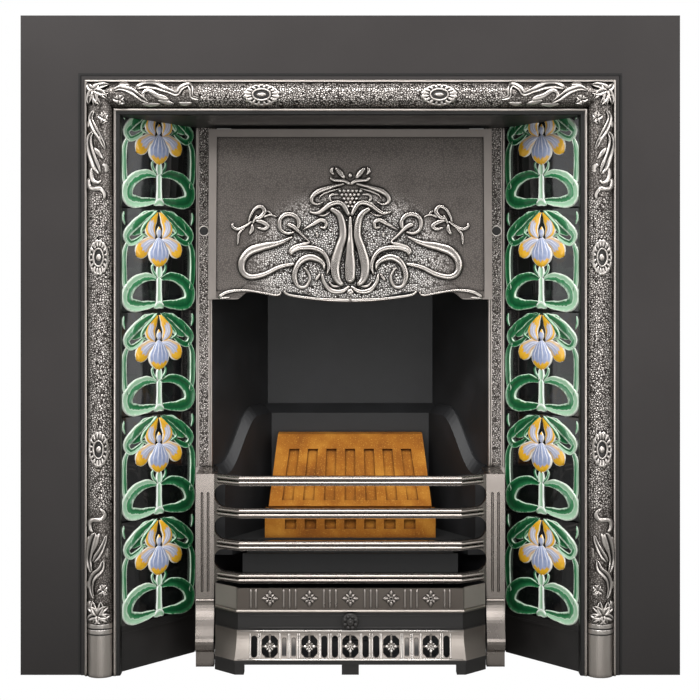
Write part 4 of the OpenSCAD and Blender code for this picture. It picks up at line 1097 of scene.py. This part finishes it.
@dataclass(frozen=True)
class Canopy:
    """The canopy that hangs on its rod over the fire, with a flower between two looping stems."""

    lean: float = 4.0
    sunk: float = 12.5
    rim: float = 15.0
    drop: float = 245.0
    rim_w: float = 12.0
    flower_up: float = 62.0

    # One half of the ornament. Points are from the middle line, then up from the bottom corners.
    flower = (
        Stroke(((31, 140), (15.5, 127), (11, 99), (17.6, 76), (23, 52), (20.5, 32), (10.5, 20)),
               (9, 12, 13, 15, 17, 15, 9), 6.2),
        Stroke(((64, 134), (49, 132), (28.7, 146), (12.6, 146), (1, 127)), (4, 8, 10, 9, 7), 5.6),
        Stroke(((52, 129), (40, 128), (30, 134)), (2, 4, 2), 3.0),
        Stroke(((8, 177), (29, 172), (49, 165), (58.6, 156), (58, 148), (49, 145), (40, 150)),
               (4, 6, 9, 10, 8, 5, 3), 5.4),
        Stroke(((14, 170), (32, 165), (44, 159), (48, 152)), (2, 4, 4, 2), 3.4),
        Stroke(((0, 175), (8, 181), (26, 183), (31, 188)), (6, 7, 7, 5), 4.4),
        Stroke(((8, 184), (15.5, 194), (23, 203)), (5, 10, 6), 4.2),
        Stroke(((24, 190), (29, 196), (26, 204)), (3, 6, 4), 3.6),
        Stroke(((17, 160), (28.7, 160), (31, 152), (20, 149)), (3, 5, 5, 3), 3.6),
        Stroke(((43, 40), (40, 26), (29, 13), (12.6, 12), (0, 21)), (4, 7, 9, 8, 4), 4.6),
        Stroke(((33, 28), (26, 20), (12, 20)), (2, 5, 2), 3.4),
    )
    scrolls = (
        Stroke(((90, 66), (88, 72.6), (75.6, 78), (55, 78), (40, 70), (32.5, 52), (36, 36)),
               (7, 8, 9, 9, 8, 7, 3), 5.4),
        Stroke(((39, 43), (43, 56.5), (61, 64), (77, 56.5), (85, 37.5), (80, 20.5), (68, 19), (61.5, 32),
                (67, 45), (72.6, 49)), (4, 9, 12, 12, 10, 9, 7, 6, 5, 3), 5.6),
        Stroke(((45, 40), (50, 33), (54, 27)), (3, 6, 3), 3.4),
        Stroke(((87, 96), (108, 86), (134, 80), (154, 72.6), (165, 58), (164, 42), (152, 34), (131, 38),
                (108, 49), (84, 54.5)), (4, 9, 14, 16, 14, 11, 10, 9, 8, 6), 5.8),
        Stroke(((80, 106), (78.5, 119.5), (87, 129), (100.5, 129), (108, 119.5), (106, 106), (96, 100.5),
                (84, 103)), (6, 8, 9, 9, 8, 7, 6, 4), 5.2),
        Stroke(((97.5, 115), (87, 111), (72.6, 97.5), (63, 87), (75.6, 83), (89, 77), (92, 68)),
               (9, 8, 5, 4, 7, 8, 7), 5.0),
        Stroke(((74, 105), (58, 114), (45, 121), (37, 117), (39, 109), (48, 111)), (2, 5, 8, 8, 6, 3), 4.8),
        Stroke(((52, 103), (50, 97), (54, 94)), (5, 5, 3), 3.4),
    )
    lilies = (
        Stroke(((111, 125), (122, 129), (134, 125)), (3, 4, 4), 3.0),
        Stroke(((119, 128), (123, 133), (128, 136)), (2, 4, 2), 2.4),
        Stroke(((148, 122), (137, 126), (131, 135), (137, 142), (146, 138), (153, 126), (156, 116)),
               (4, 8, 8, 7, 6, 5, 3), 4.2),
        Stroke(((146, 120), (135, 118), (126, 112), (132, 107), (144, 110)), (4, 8, 8, 6, 3), 4.0),
        Stroke(((142, 130), (146, 122), (150, 114)), (3, 5, 3), 3.6),
        Stroke(((149, 120), (160, 112), (172, 107), (180, 111), (179, 118)), (3, 5, 6, 6, 4), 3.6),
        Stroke(((150, 116), (150, 106), (155, 98)), (4, 7, 5), 3.4),
        Stroke(((160, 110), (170, 100), (172, 82)), (3, 5, 3), 3.0),
    )
    lip = (
        Stroke(((201, 3), (186, 11), (160, 13.5), (130, 9), (112, 6), (106, 9), (108, 13)),
               (6, 6, 5, 4, 4, 4, 3), 3.0),
        Stroke(((200, 1), (190, 2), (182, 3)), (3, 4, 2), 2.2),
        Stroke(((101, 14), (97, 8), (80, 4), (40, -0.5), (0, -2)), (4, 5, 5, 6, 6), 3.0),
    )
    # The flower's middle petal, on the middle line.
    tongue = Stroke(((0, 128), (0, 90), (0, 60), (0, 24)), (5, 8, 14, 19, 17), 6.5)
    berry: float = 3.1
    berry_rise: float = 5.0
    berry_rows: int = 5
    berry_top: float = 166.0
    berry_pitch: Flat = (6.4, 6.0)
    buttons: tuple[tuple[float, Flat, float], ...] = ((190, (4, 5), 3.4), (11, (7, 7), 4.0))

    def place(self, across: float, up: float, height: float) -> Vector:
        """Put a point of the ornament on the leaning panel."""
        rod_low, rod_high = corners("hood_rod")
        rod = (rod_low + rod_high) / 2
        turn = math.radians(self.lean)
        rise, out = up - self.drop, -(self.sunk + height)
        return world(across, rod.y + out * math.cos(turn) + rise * math.sin(turn),
                     rod.z - out * math.sin(turn) + rise * math.cos(turn))

    def build(self) -> None:
        """Dress the canopy and lay its ornament."""
        low, high = corners("hood")
        dress(CanopyIron("Burnished canopy", colour="#a59d97", pebble=3.1, reach=6.5, clear=(0.45, 0.97),
                         dull="#807974", tops="#f4f0ec", gap=(0.19, 0.06), rim_hollows_cleared=0.9,
                         half=high.x - self.rim_w, low=low.z + self.rim_w / 2, high=high.z - self.rim_w,
                         centre=low.z + self.flower_up), "hood")
        dress(BRIGHT_STEEL, "hood_rod", "hood_hooks")
        bright = ReliefIron("Bright relief", roughness=0.25, colour="#bcb5af", reach=5.0, clear=(0.4, 0.97),
                            crests=(0.55, 0.98))
        # A lighter copy of the relief iron: painted highlight on the berries
        lit_berries = ReliefIron("Berries with painted highlight", roughness=0.25, colour="#efe9e4", reach=1.0,
                             crests=(0.1, 0.5))
        relief = Relief("canopy_relief", "hood", [bright, lit_berries], "polished_iron")
        lip = (replace(one, lift=self.rim - self.sunk) for one in self.lip)
        ornament = both((*self.flower, *self.scrolls, *self.lilies))
        relief.lay([*ornament, self.tongue, *both(lip)], self.place)
        pitch, drop = self.berry_pitch
        for row in range(self.berry_rows):
            last = self.berry_rows - row
            for number in range(last + 1):
                relief.boss((number - last / 2) * pitch, self.berry_top - row * drop, (self.berry,) * 2,
                            self.berry_rise, self.place, slot=1)
        for up, radii, rise in self.buttons:
            relief.boss(0, up, radii, rise, self.place)
        relief.finish()


@dataclass(frozen=True)
class TilePanels:
    """Two splayed panels of five glazed tiles. One tile's iris repeats, its own left and right unlike."""

    size: float = 152.4
    joint: float = 2.5
    plinth: float = 66.5
    splay: float = 50.0
    edge: float = 1.0
    soffit: float = 817.0
    rows: int = 5

    # Half of the green part. Points are from the tile's middle line, outward, then up from its foot.
    leaves = (
        Stroke(((-4, 47), (-26, 50), (-50, 42), (-64, 26), (-60, 11), (-38, 7), (-5, 10)),
               (6, 14, 18, 22, 20, 14, 8), 2.6, Section.TUBE_LINED),
        Stroke(((-10, 148), (-34, 132), (-56, 114)), (8, 24, 26, 12), 1.8, Section.ROUND, 1.0),
        Stroke(((-62, 104), (-70, 85), (-70, 50), (-66, 28)), (6, 10, 10, 8), 2.2, Section.TUBE_LINED),
        Stroke(((-8, 150), (-30, 140), (-52, 126), (-66, 112), (-58, 101), (-42, 106), (-28, 116)),
               (4, 10, 16, 15, 10, 8, 4), 2.6, Section.TUBE_LINED),
        Stroke(((-4, 150), (-18, 139), (-33, 126), (-36, 116), (-24, 110)), (4, 5, 5, 4, 3), 2.8),
        Stroke(((-4, 50), (-12, 58), (-14, 66), (-10, 70)), (4, 5, 4, 2), 2.4),
        Stroke(((-70, 148), (-72, 138), (-68, 128)), (3, 5, 3), 2.0),
    )
    stem = (
        Stroke(((0, 8), (0, 30), (0, 50)), (12, 9, 9), 2.8, Section.TUBE_LINED, 2.0),
        Stroke(((0, 48), (0, 58), (0, 68)), (12, 12, 8), 2.6, Section.TUBE_LINED, 2.0),
        Stroke(((-10, 3), (0, 8), (10, 3)), (6, 12, 6), 3.0, Section.LOBED, 2.0),
    )
    petals = (
        Stroke(((-8, 108), (-18, 122), (-12, 137), (-1, 147)), (8, 22, 20, 4), 2.6, Section.VEINED, 1.0, 1),
        Stroke(((-6, 106), (-24, 100), (-45, 81)), (7, 18, 28, 24), 3.0, Section.VEINED, 0.6, 1),
    )
    middle_petals = (
        Stroke(((0, 110), (0, 92), (0, 64)), (10, 30, 44, 44, 28), 3.6, Section.VEINED, 0.0, 1),
        Stroke(((0, 108), (0, 126)), (4, 10, 3), 2.8, Section.ROUND, 0.0, 1),
    )

    def placer(self, side: int, row: int) -> Placer:
        """Return the placer of one tile, for side -1 on the left or 1 on the right."""
        low, _ = corners("right_tile_1")
        turn = math.radians(self.splay)
        back, out = Vector((-math.cos(turn), math.sin(turn))), Vector((-math.sin(turn), -math.cos(turn)))
        start = Vector((low.x + (self.size - self.edge) * math.cos(turn),
                        low.y - self.edge * math.cos(turn)))
        foot = self.plinth + (row - 1) * (self.size + self.joint)

        def place(across: float, up: float, height: float) -> Vector:
            flat = start + back * (across + self.size / 2) + out * height
            return world(side * flat.x, flat.y, foot + up)

        return place

    def tile_relief(self, side: int, row: int) -> None:
        """Lay the iris of one tile and cut the top tile's at the soffit."""
        name = f"{'left' if side < 0 else 'right'}_iris_{row}"
        finishes = [LeafGlaze("Green glaze"), PetalGlaze("Lavender glaze")]
        relief = Relief(name, "root", finishes, "tile_glaze")
        petals = [*both(self.petals), *self.middle_petals]
        relief.lay([*both(self.leaves, 1.0), *self.stem, *petals], self.placer(side, row), 4.0)
        if row == self.rows:
            relief.cut_over(self.soffit)
        relief.finish()

    def build(self) -> None:
        """Dress the trays and tiles and lay every iris."""
        turn = math.radians(self.splay)
        low, _ = corners("right_tile_1")
        front = low.y * math.sin(turn) - (low.x + self.size * math.cos(turn)) * math.cos(turn)
        glaze = BlackGlaze("Black glaze", splay=self.splay, middle=front + self.size / 2)
        for side, word in ((-1, "left"), (1, "right")):
            # Darker iron on the trays: painted shade
            dress(DARK_AND_SHADED_IRON, f"{word}_tile_tray")
            for row in range(1, self.rows + 1):
                dress(glaze, f"{word}_tile_{row}")
                self.tile_relief(side, row)


@dataclass(frozen=True)
class ArchPlate:
    """The arch plate's two stippled columns with their bright bead edges, screws and bolts."""

    opening: float = 213.0
    bead: float = 6.0
    rim_w: float = 1.9
    rim_gap: float = 0.6  # Round the screw's head
    rim_sink: float = 4.0
    rim_steps: int = 20

    def build_rims(self, middle: float) -> None:
        """Turn a bright rim round the upper screw of each column, which lies middle from the centre."""
        low, high = corners("column_screws")
        head = high.x - middle
        bright = BurnishedIron("Burnished rims", colour="#cfc8c2")
        rims = Relief("screw_rims", "root", [bright], "polished_iron")

        def place(across: float, up: float, height: float) -> Vector:
            return world(across, low.y + self.rim_gap - height, up)

        ring = oval((middle, high.z - head), (head + self.rim_gap,) * 2, self.rim_steps)
        rims.lay(both([Stroke(ring, (self.rim_w,), 1.0, closed=True, sink=self.rim_sink)]), place)
        rims.finish()

    def build(self) -> None:
        """Dress the plate and its fastenings, and the soffit over the tiles."""
        _, high = corners("arch_plate")
        dress(ColumnIron("Burnished columns", pebble=2.6, dull="#534d4a", tops="#d6cfc9",
                         low=self.opening, high=high.x, bead=self.bead), "arch_plate")
        dress(BRIGHT_STEEL, "column_nuts", "frame_bolts", "chamber_bolts")
        # Darker iron: painted shade on the soffit, and the column screws' own dark tone
        dress(DARK_AND_SHADED_IRON, "top_soffit", "column_screws")
        self.build_rims((self.opening + high.x) / 2)


@dataclass(frozen=True)
class Grate:
    """The barred front with its fluted pilasters, the bottom grate and the bearer of the bricks."""

    def build(self) -> None:
        """Dress the polished front and the black parts behind it."""
        dress(BurnishedIron("Burnished bars", roughness=0.24, colour="#968e88"), "grate_front")
        dress(LowShadedIron("Iron with painted low shade"), "bottom_grate", "brick_bearer")


@dataclass(frozen=True)
class AshCover:
    """The loose ash cover: a band of star flowers, a black strip with the knob, and a pierced flare."""

    spots: tuple[float, ...] = (-118.0, -60.0, 0.0, 60.0, 118.0)
    slots: tuple[float, ...] = (-141.0, -97.0, -83.0, -38.0, -22.5, 22.5, 38.0, 83.0, 97.0, 141.0)
    end_reeds: Flat = (138.5, 146.0)
    swell: float = 8.5
    reed_gap: float = 8.8
    reeds: Flat = (95.5, 124.0)
    reed_w: float = 3.4
    band_mid: float = 110.0
    star_reach: float = 13.0
    window_mid: float = 40.5
    window_star: float = 10.0
    window_reed: float = 14.4
    window_reed_w: float = 2.2
    slot_reed: float = 5.9
    slot_reed_w: float = 1.9
    flare_reeds: Flat = (23.0, 59.5)
    flare_rise: Flat = (21.5, 61.0)
    strip_fillets: Flat = (67.0, 84.5)
    fillet_half: float = 165.0
    strip_sunk: float = 2.0
    knob_lobes: int = 8
    knob_petal: Three = (0.68, 0.24, 2.2)  # Distance and size as shares of the knob, height
    knob_heart: Flat = (0.26, 2.6)  # Share of the knob, height

    def place(self, across: float, up: float, height: float) -> Vector:
        """Put a point on the band's flat face."""
        low, _ = corners("ash_cover")
        return world(across, low.y + self.swell - height, up)

    def flare(self, across: float, up: float, height: float) -> Vector:
        """Put a point on the flared base, which curves forward towards its foot."""
        low, _ = corners("ash_cover")
        foot, head = self.flare_rise
        turn = math.pi / 2 * min(1.0, max(0.0, (head - up) / (head - foot)))
        return world(across, low.y + (self.swell - 1) * math.cos(turn) - height, up)

    @staticmethod
    def star(relief: Relief, across: float, up: float, reach: float, place: Placer, slot: int = 0) -> None:
        """Add a four petalled star flower with small points between its petals and a pit in its middle."""
        at = Vector((across, up))
        for number in range(8):
            angle = math.tau * number / 8
            turn = Vector((math.cos(angle), math.sin(angle)))
            long, wide = (reach * 0.72, 5) if number % 2 else (reach, 7)
            points = tuple(tuple(at + turn * long * share) for share in (0.2, 0.55, 1.0))
            widths = tuple(w * reach / 11 for w in (2, wide, 1.5))
            relief.stroke(Stroke(points, widths, 2.6, Section.VEINED, slot=slot), place, 1.5)
        ring = oval((across, up), (reach * 0.19,) * 2, 10)
        relief.stroke(Stroke(ring, (reach * 0.16,), 3.0, slot=slot, closed=True), place)

    @staticmethod
    def reed(relief: Relief, across: float, rise: Flat, width: float, place: Placer, slot: int = 0) -> None:
        """Add an upright reed."""
        line = ((across, rise[0]), (across, rise[1]))
        relief.stroke(Stroke(line, (width,), width * 0.42, slot=slot), place, 2.0)

    def build_band(self, relief: Relief) -> None:
        """Lay the band's stars and reeds and the strip's fillets."""
        for across in self.spots:
            self.star(relief, across, self.band_mid, self.star_reach, self.place, slot=2)
        reeds = [(left + right) / 2 + number * self.reed_gap
                 for left, right in zip(self.spots, self.spots[1:]) for number in (-1, 0, 1)]
        reeds += [sign * end for sign in (-1, 1) for end in self.end_reeds]
        for across in reeds:
            self.reed(relief, across, self.reeds, self.reed_w, self.place, slot=2)
        for up in self.strip_fillets:
            line = ((-self.fillet_half, up), (self.fillet_half, up))
            relief.stroke(Stroke(line, (1.6,), 0.7, lift=-self.strip_sunk, slot=1), self.place, 40)

    def build_flare(self, relief: Relief) -> None:
        """Lay the stars over the windows, the reeds beside the openings and the flare's two edges."""
        for across in self.spots:
            self.star(relief, across, self.window_mid, self.window_star, self.flare)
            for off in (-self.window_reed, self.window_reed):
                self.reed(relief, across + off, self.flare_reeds, self.window_reed_w, self.flare)
        for across in self.slots:
            for off in (-self.slot_reed, self.slot_reed):
                self.reed(relief, across + off, self.flare_reeds, self.slot_reed_w, self.flare)
        for up in (self.flare_rise[0] + 1.0, self.flare_rise[1] + 1.6):
            line = ((-self.fillet_half, up), (self.fillet_half, up))
            relief.stroke(Stroke(line, (3.0,), 1.3), self.flare, 40)

    def build_knob(self) -> None:
        """Turn the plain knob into a dark flower of eight lobes."""
        low, high = corners("ash_knob")
        centre, reach = (low.z + high.z) / 2, (high.z - low.z) / 2
        petals = Relief("knob_petals", "ash_cover", [BLACK_LEADED], "black_iron")

        def place(across: float, up: float, height: float) -> Vector:
            return world(across, low.y + 1.2 - height, up)

        out, wide, rise = self.knob_petal
        for number in range(self.knob_lobes):
            angle = math.tau * (number + 0.5) / self.knob_lobes
            petals.boss(reach * out * math.cos(angle), centre + reach * out * math.sin(angle),
                        (reach * wide,) * 2, rise, place)
        heart, rise = self.knob_heart
        petals.boss(0.0, centre, (reach * heart,) * 2, rise, place)
        petals.finish()

    def build(self) -> None:
        """Dress the cover and lay its ornament."""
        dress(CoverIron("Burnished ash cover"), "ash_cover")
        dress(BLACK_LEADED, "ash_knob")
        dress(BRIGHT_STEEL, "knob_nut")
        dress(StovePaint("Black stove paint"), "ash_pan")
        dim = ReliefIron("Dim relief", colour="#a19993", reach=4.0)
        relief = Relief("cover_relief", "ash_cover", [BURNISHED_RELIEF, BLACK_LEADED, dim], "polished_iron")
        self.build_band(relief)
        self.build_flare(relief)
        relief.finish()
        self.build_knob()


@dataclass(frozen=True)
class FireChamber:
    """The blacked fire chamber with its fluted clay bricks, throat and damper."""

    def build(self) -> None:
        """Dress the chamber."""
        dress(LowShadedIron("Chamber iron with painted low shade"), "chamber_back")
        dress(BlackLeadedIron("Chamber iron", roughness=0.55, colour="#171718", worn="#222224"),
              "left_cheek", "right_cheek", "throat_plate", "damper_flap")
        dress(BRIGHT_STEEL, "damper_pin")
        dress(FireClay("Fire clay"), "back_brick", "lower_brick")


# ---- Studio ----


@dataclass(frozen=True)
class Lamp:
    """One soft studio light, in metres and watts."""

    name: str
    place: Three
    target: Three
    size: Flat
    power: float
    card: bool = False

    def build(self) -> None:
        """Add the light, turned to its target. A card shows in shiny surfaces and lights no matt ones."""
        light = bpy.data.lights.new(self.name, "AREA")
        light.shape, light.energy = "RECTANGLE", self.power
        light.size, light.size_y = self.size
        lamp = bpy.data.objects.new(self.name, light)
        lamp.location = self.place
        lamp.rotation_euler = (Vector(self.target) - Vector(self.place)).to_track_quat("-Z", "Y").to_euler()
        lamp.visible_diffuse = not self.card
        bpy.context.collection.objects.link(lamp)


@dataclass(frozen=True)
class Studio:
    """White paper, soft lights and the camera at the photograph's place."""

    lamps: tuple[Lamp, ...] = (
        Lamp("Key", (-1.5, -2.6, 2.3), (0.0, 0.0, 0.9), (1.6, 1.2), 42.0),
        Lamp("Fill", (1.9, -2.4, 1.5), (0.0, 0.0, 0.9), (1.2, 1.8), 26.0),
        Lamp("Top", (0.0, -1.2, 2.2), (0.0, 0.0, 0.9), (2.0, 0.6), 40.0),
        Lamp("Fire", (0.0, -1.6, 0.3), (0.0, 0.1, 0.25), (0.8, 0.4), 3.0),
        Lamp("Back", (1.0, 2.6, 1.9), (0.0, 0.0, 0.5), (1.8, 1.4), 45.0),
        Lamp("Back fill", (-1.9, 1.6, 1.0), (0.0, 0.1, 0.5), (1.0, 1.6), 22.0),
        Lamp("Low", (0.0, -2.4, 0.12), (0.0, 0.0, 0.6), (2.6, 0.3), 8.0, card=True),
        Lamp("Left card", (-2.2, -1.0, 0.6), (0.0, -0.2, 0.6), (1.4, 2.4), 16.0, card=True),
        Lamp("Right card", (2.2, -0.9, 0.7), (0.0, -0.2, 0.6), (0.6, 2.2), 8.0, card=True),
    )
    camera_place: Three = (-0.0025, -2.4675, 0.625)
    lens: float = 81.9
    sensor: float = 36.0
    shift: Flat = (0.002, -0.146)
    floor_half: float = 6.0
    glow: float = 0.28

    def build_camera(self) -> None:
        """Add the camera, level and square to the fireplace, with a rising lens."""
        data = bpy.data.cameras.new("Camera")
        data.lens, data.sensor_width = self.lens, self.sensor
        data.shift_x, data.shift_y = self.shift
        camera = bpy.data.objects.new("Camera", data)
        camera.location, camera.rotation_euler = self.camera_place, Euler((math.pi / 2, 0, 0))
        bpy.context.collection.objects.link(camera)
        bpy.context.scene.camera = camera

    def build_floor(self) -> None:
        """Add the paper floor."""
        paper = bmesh.new()
        bmesh.ops.create_grid(paper, x_segments=1, y_segments=1, size=self.floor_half)
        mesh = bpy.data.meshes.new("floor")
        paper.to_mesh(mesh)
        paper.free()
        mesh.materials.append(StudioPaper("Studio paper").material())
        floor = bpy.data.objects.new("floor", mesh)
        bpy.context.collection.objects.link(floor)

    def build_world(self) -> None:
        """Show white to the camera and in reflections, and a softer white to matt surfaces."""
        world_data = bpy.data.worlds.new("Studio")
        world_data.use_nodes = True
        tree = world_data.node_tree
        tree.nodes.clear()
        path = add_node(tree, "LightPath").outputs
        seen = add_node(tree, "Math", {0: path["Is Camera Ray"], 1: path["Is Transmission Ray"]},
                        operation="MAXIMUM").outputs[0]
        soft = add_node(tree, "Background", {"Color": "#ffffff", "Strength": self.glow})
        white = add_node(tree, "Background", {"Color": "#ffffff", "Strength": 1.0})
        shown = add_node(tree, "MixShader", {0: seen, 1: soft.outputs[0], 2: white.outputs[0]})
        add_node(tree, "OutputWorld", {0: shown.outputs[0]})
        bpy.context.scene.world = world_data

    def build(self) -> None:
        """Set up the studio."""
        for lamp in self.lamps:
            lamp.build()
        self.build_floor()
        self.build_world()
        self.build_camera()
        bpy.context.scene.view_settings.view_transform = "Standard"


# ---- Building the scene ----


def main() -> None:
    """Dress the fireplace, add its relief and light it."""
    logging.basicConfig(level=logging.INFO, format="%(name)s %(message)s")
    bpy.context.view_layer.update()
    for assembly in (Surround(), Canopy(), TilePanels(), ArchPlate(), Grate(), AshCover(), FireChamber()):
        assembly.build()
    Studio().build()


if __name__ == "__main__":
    main()
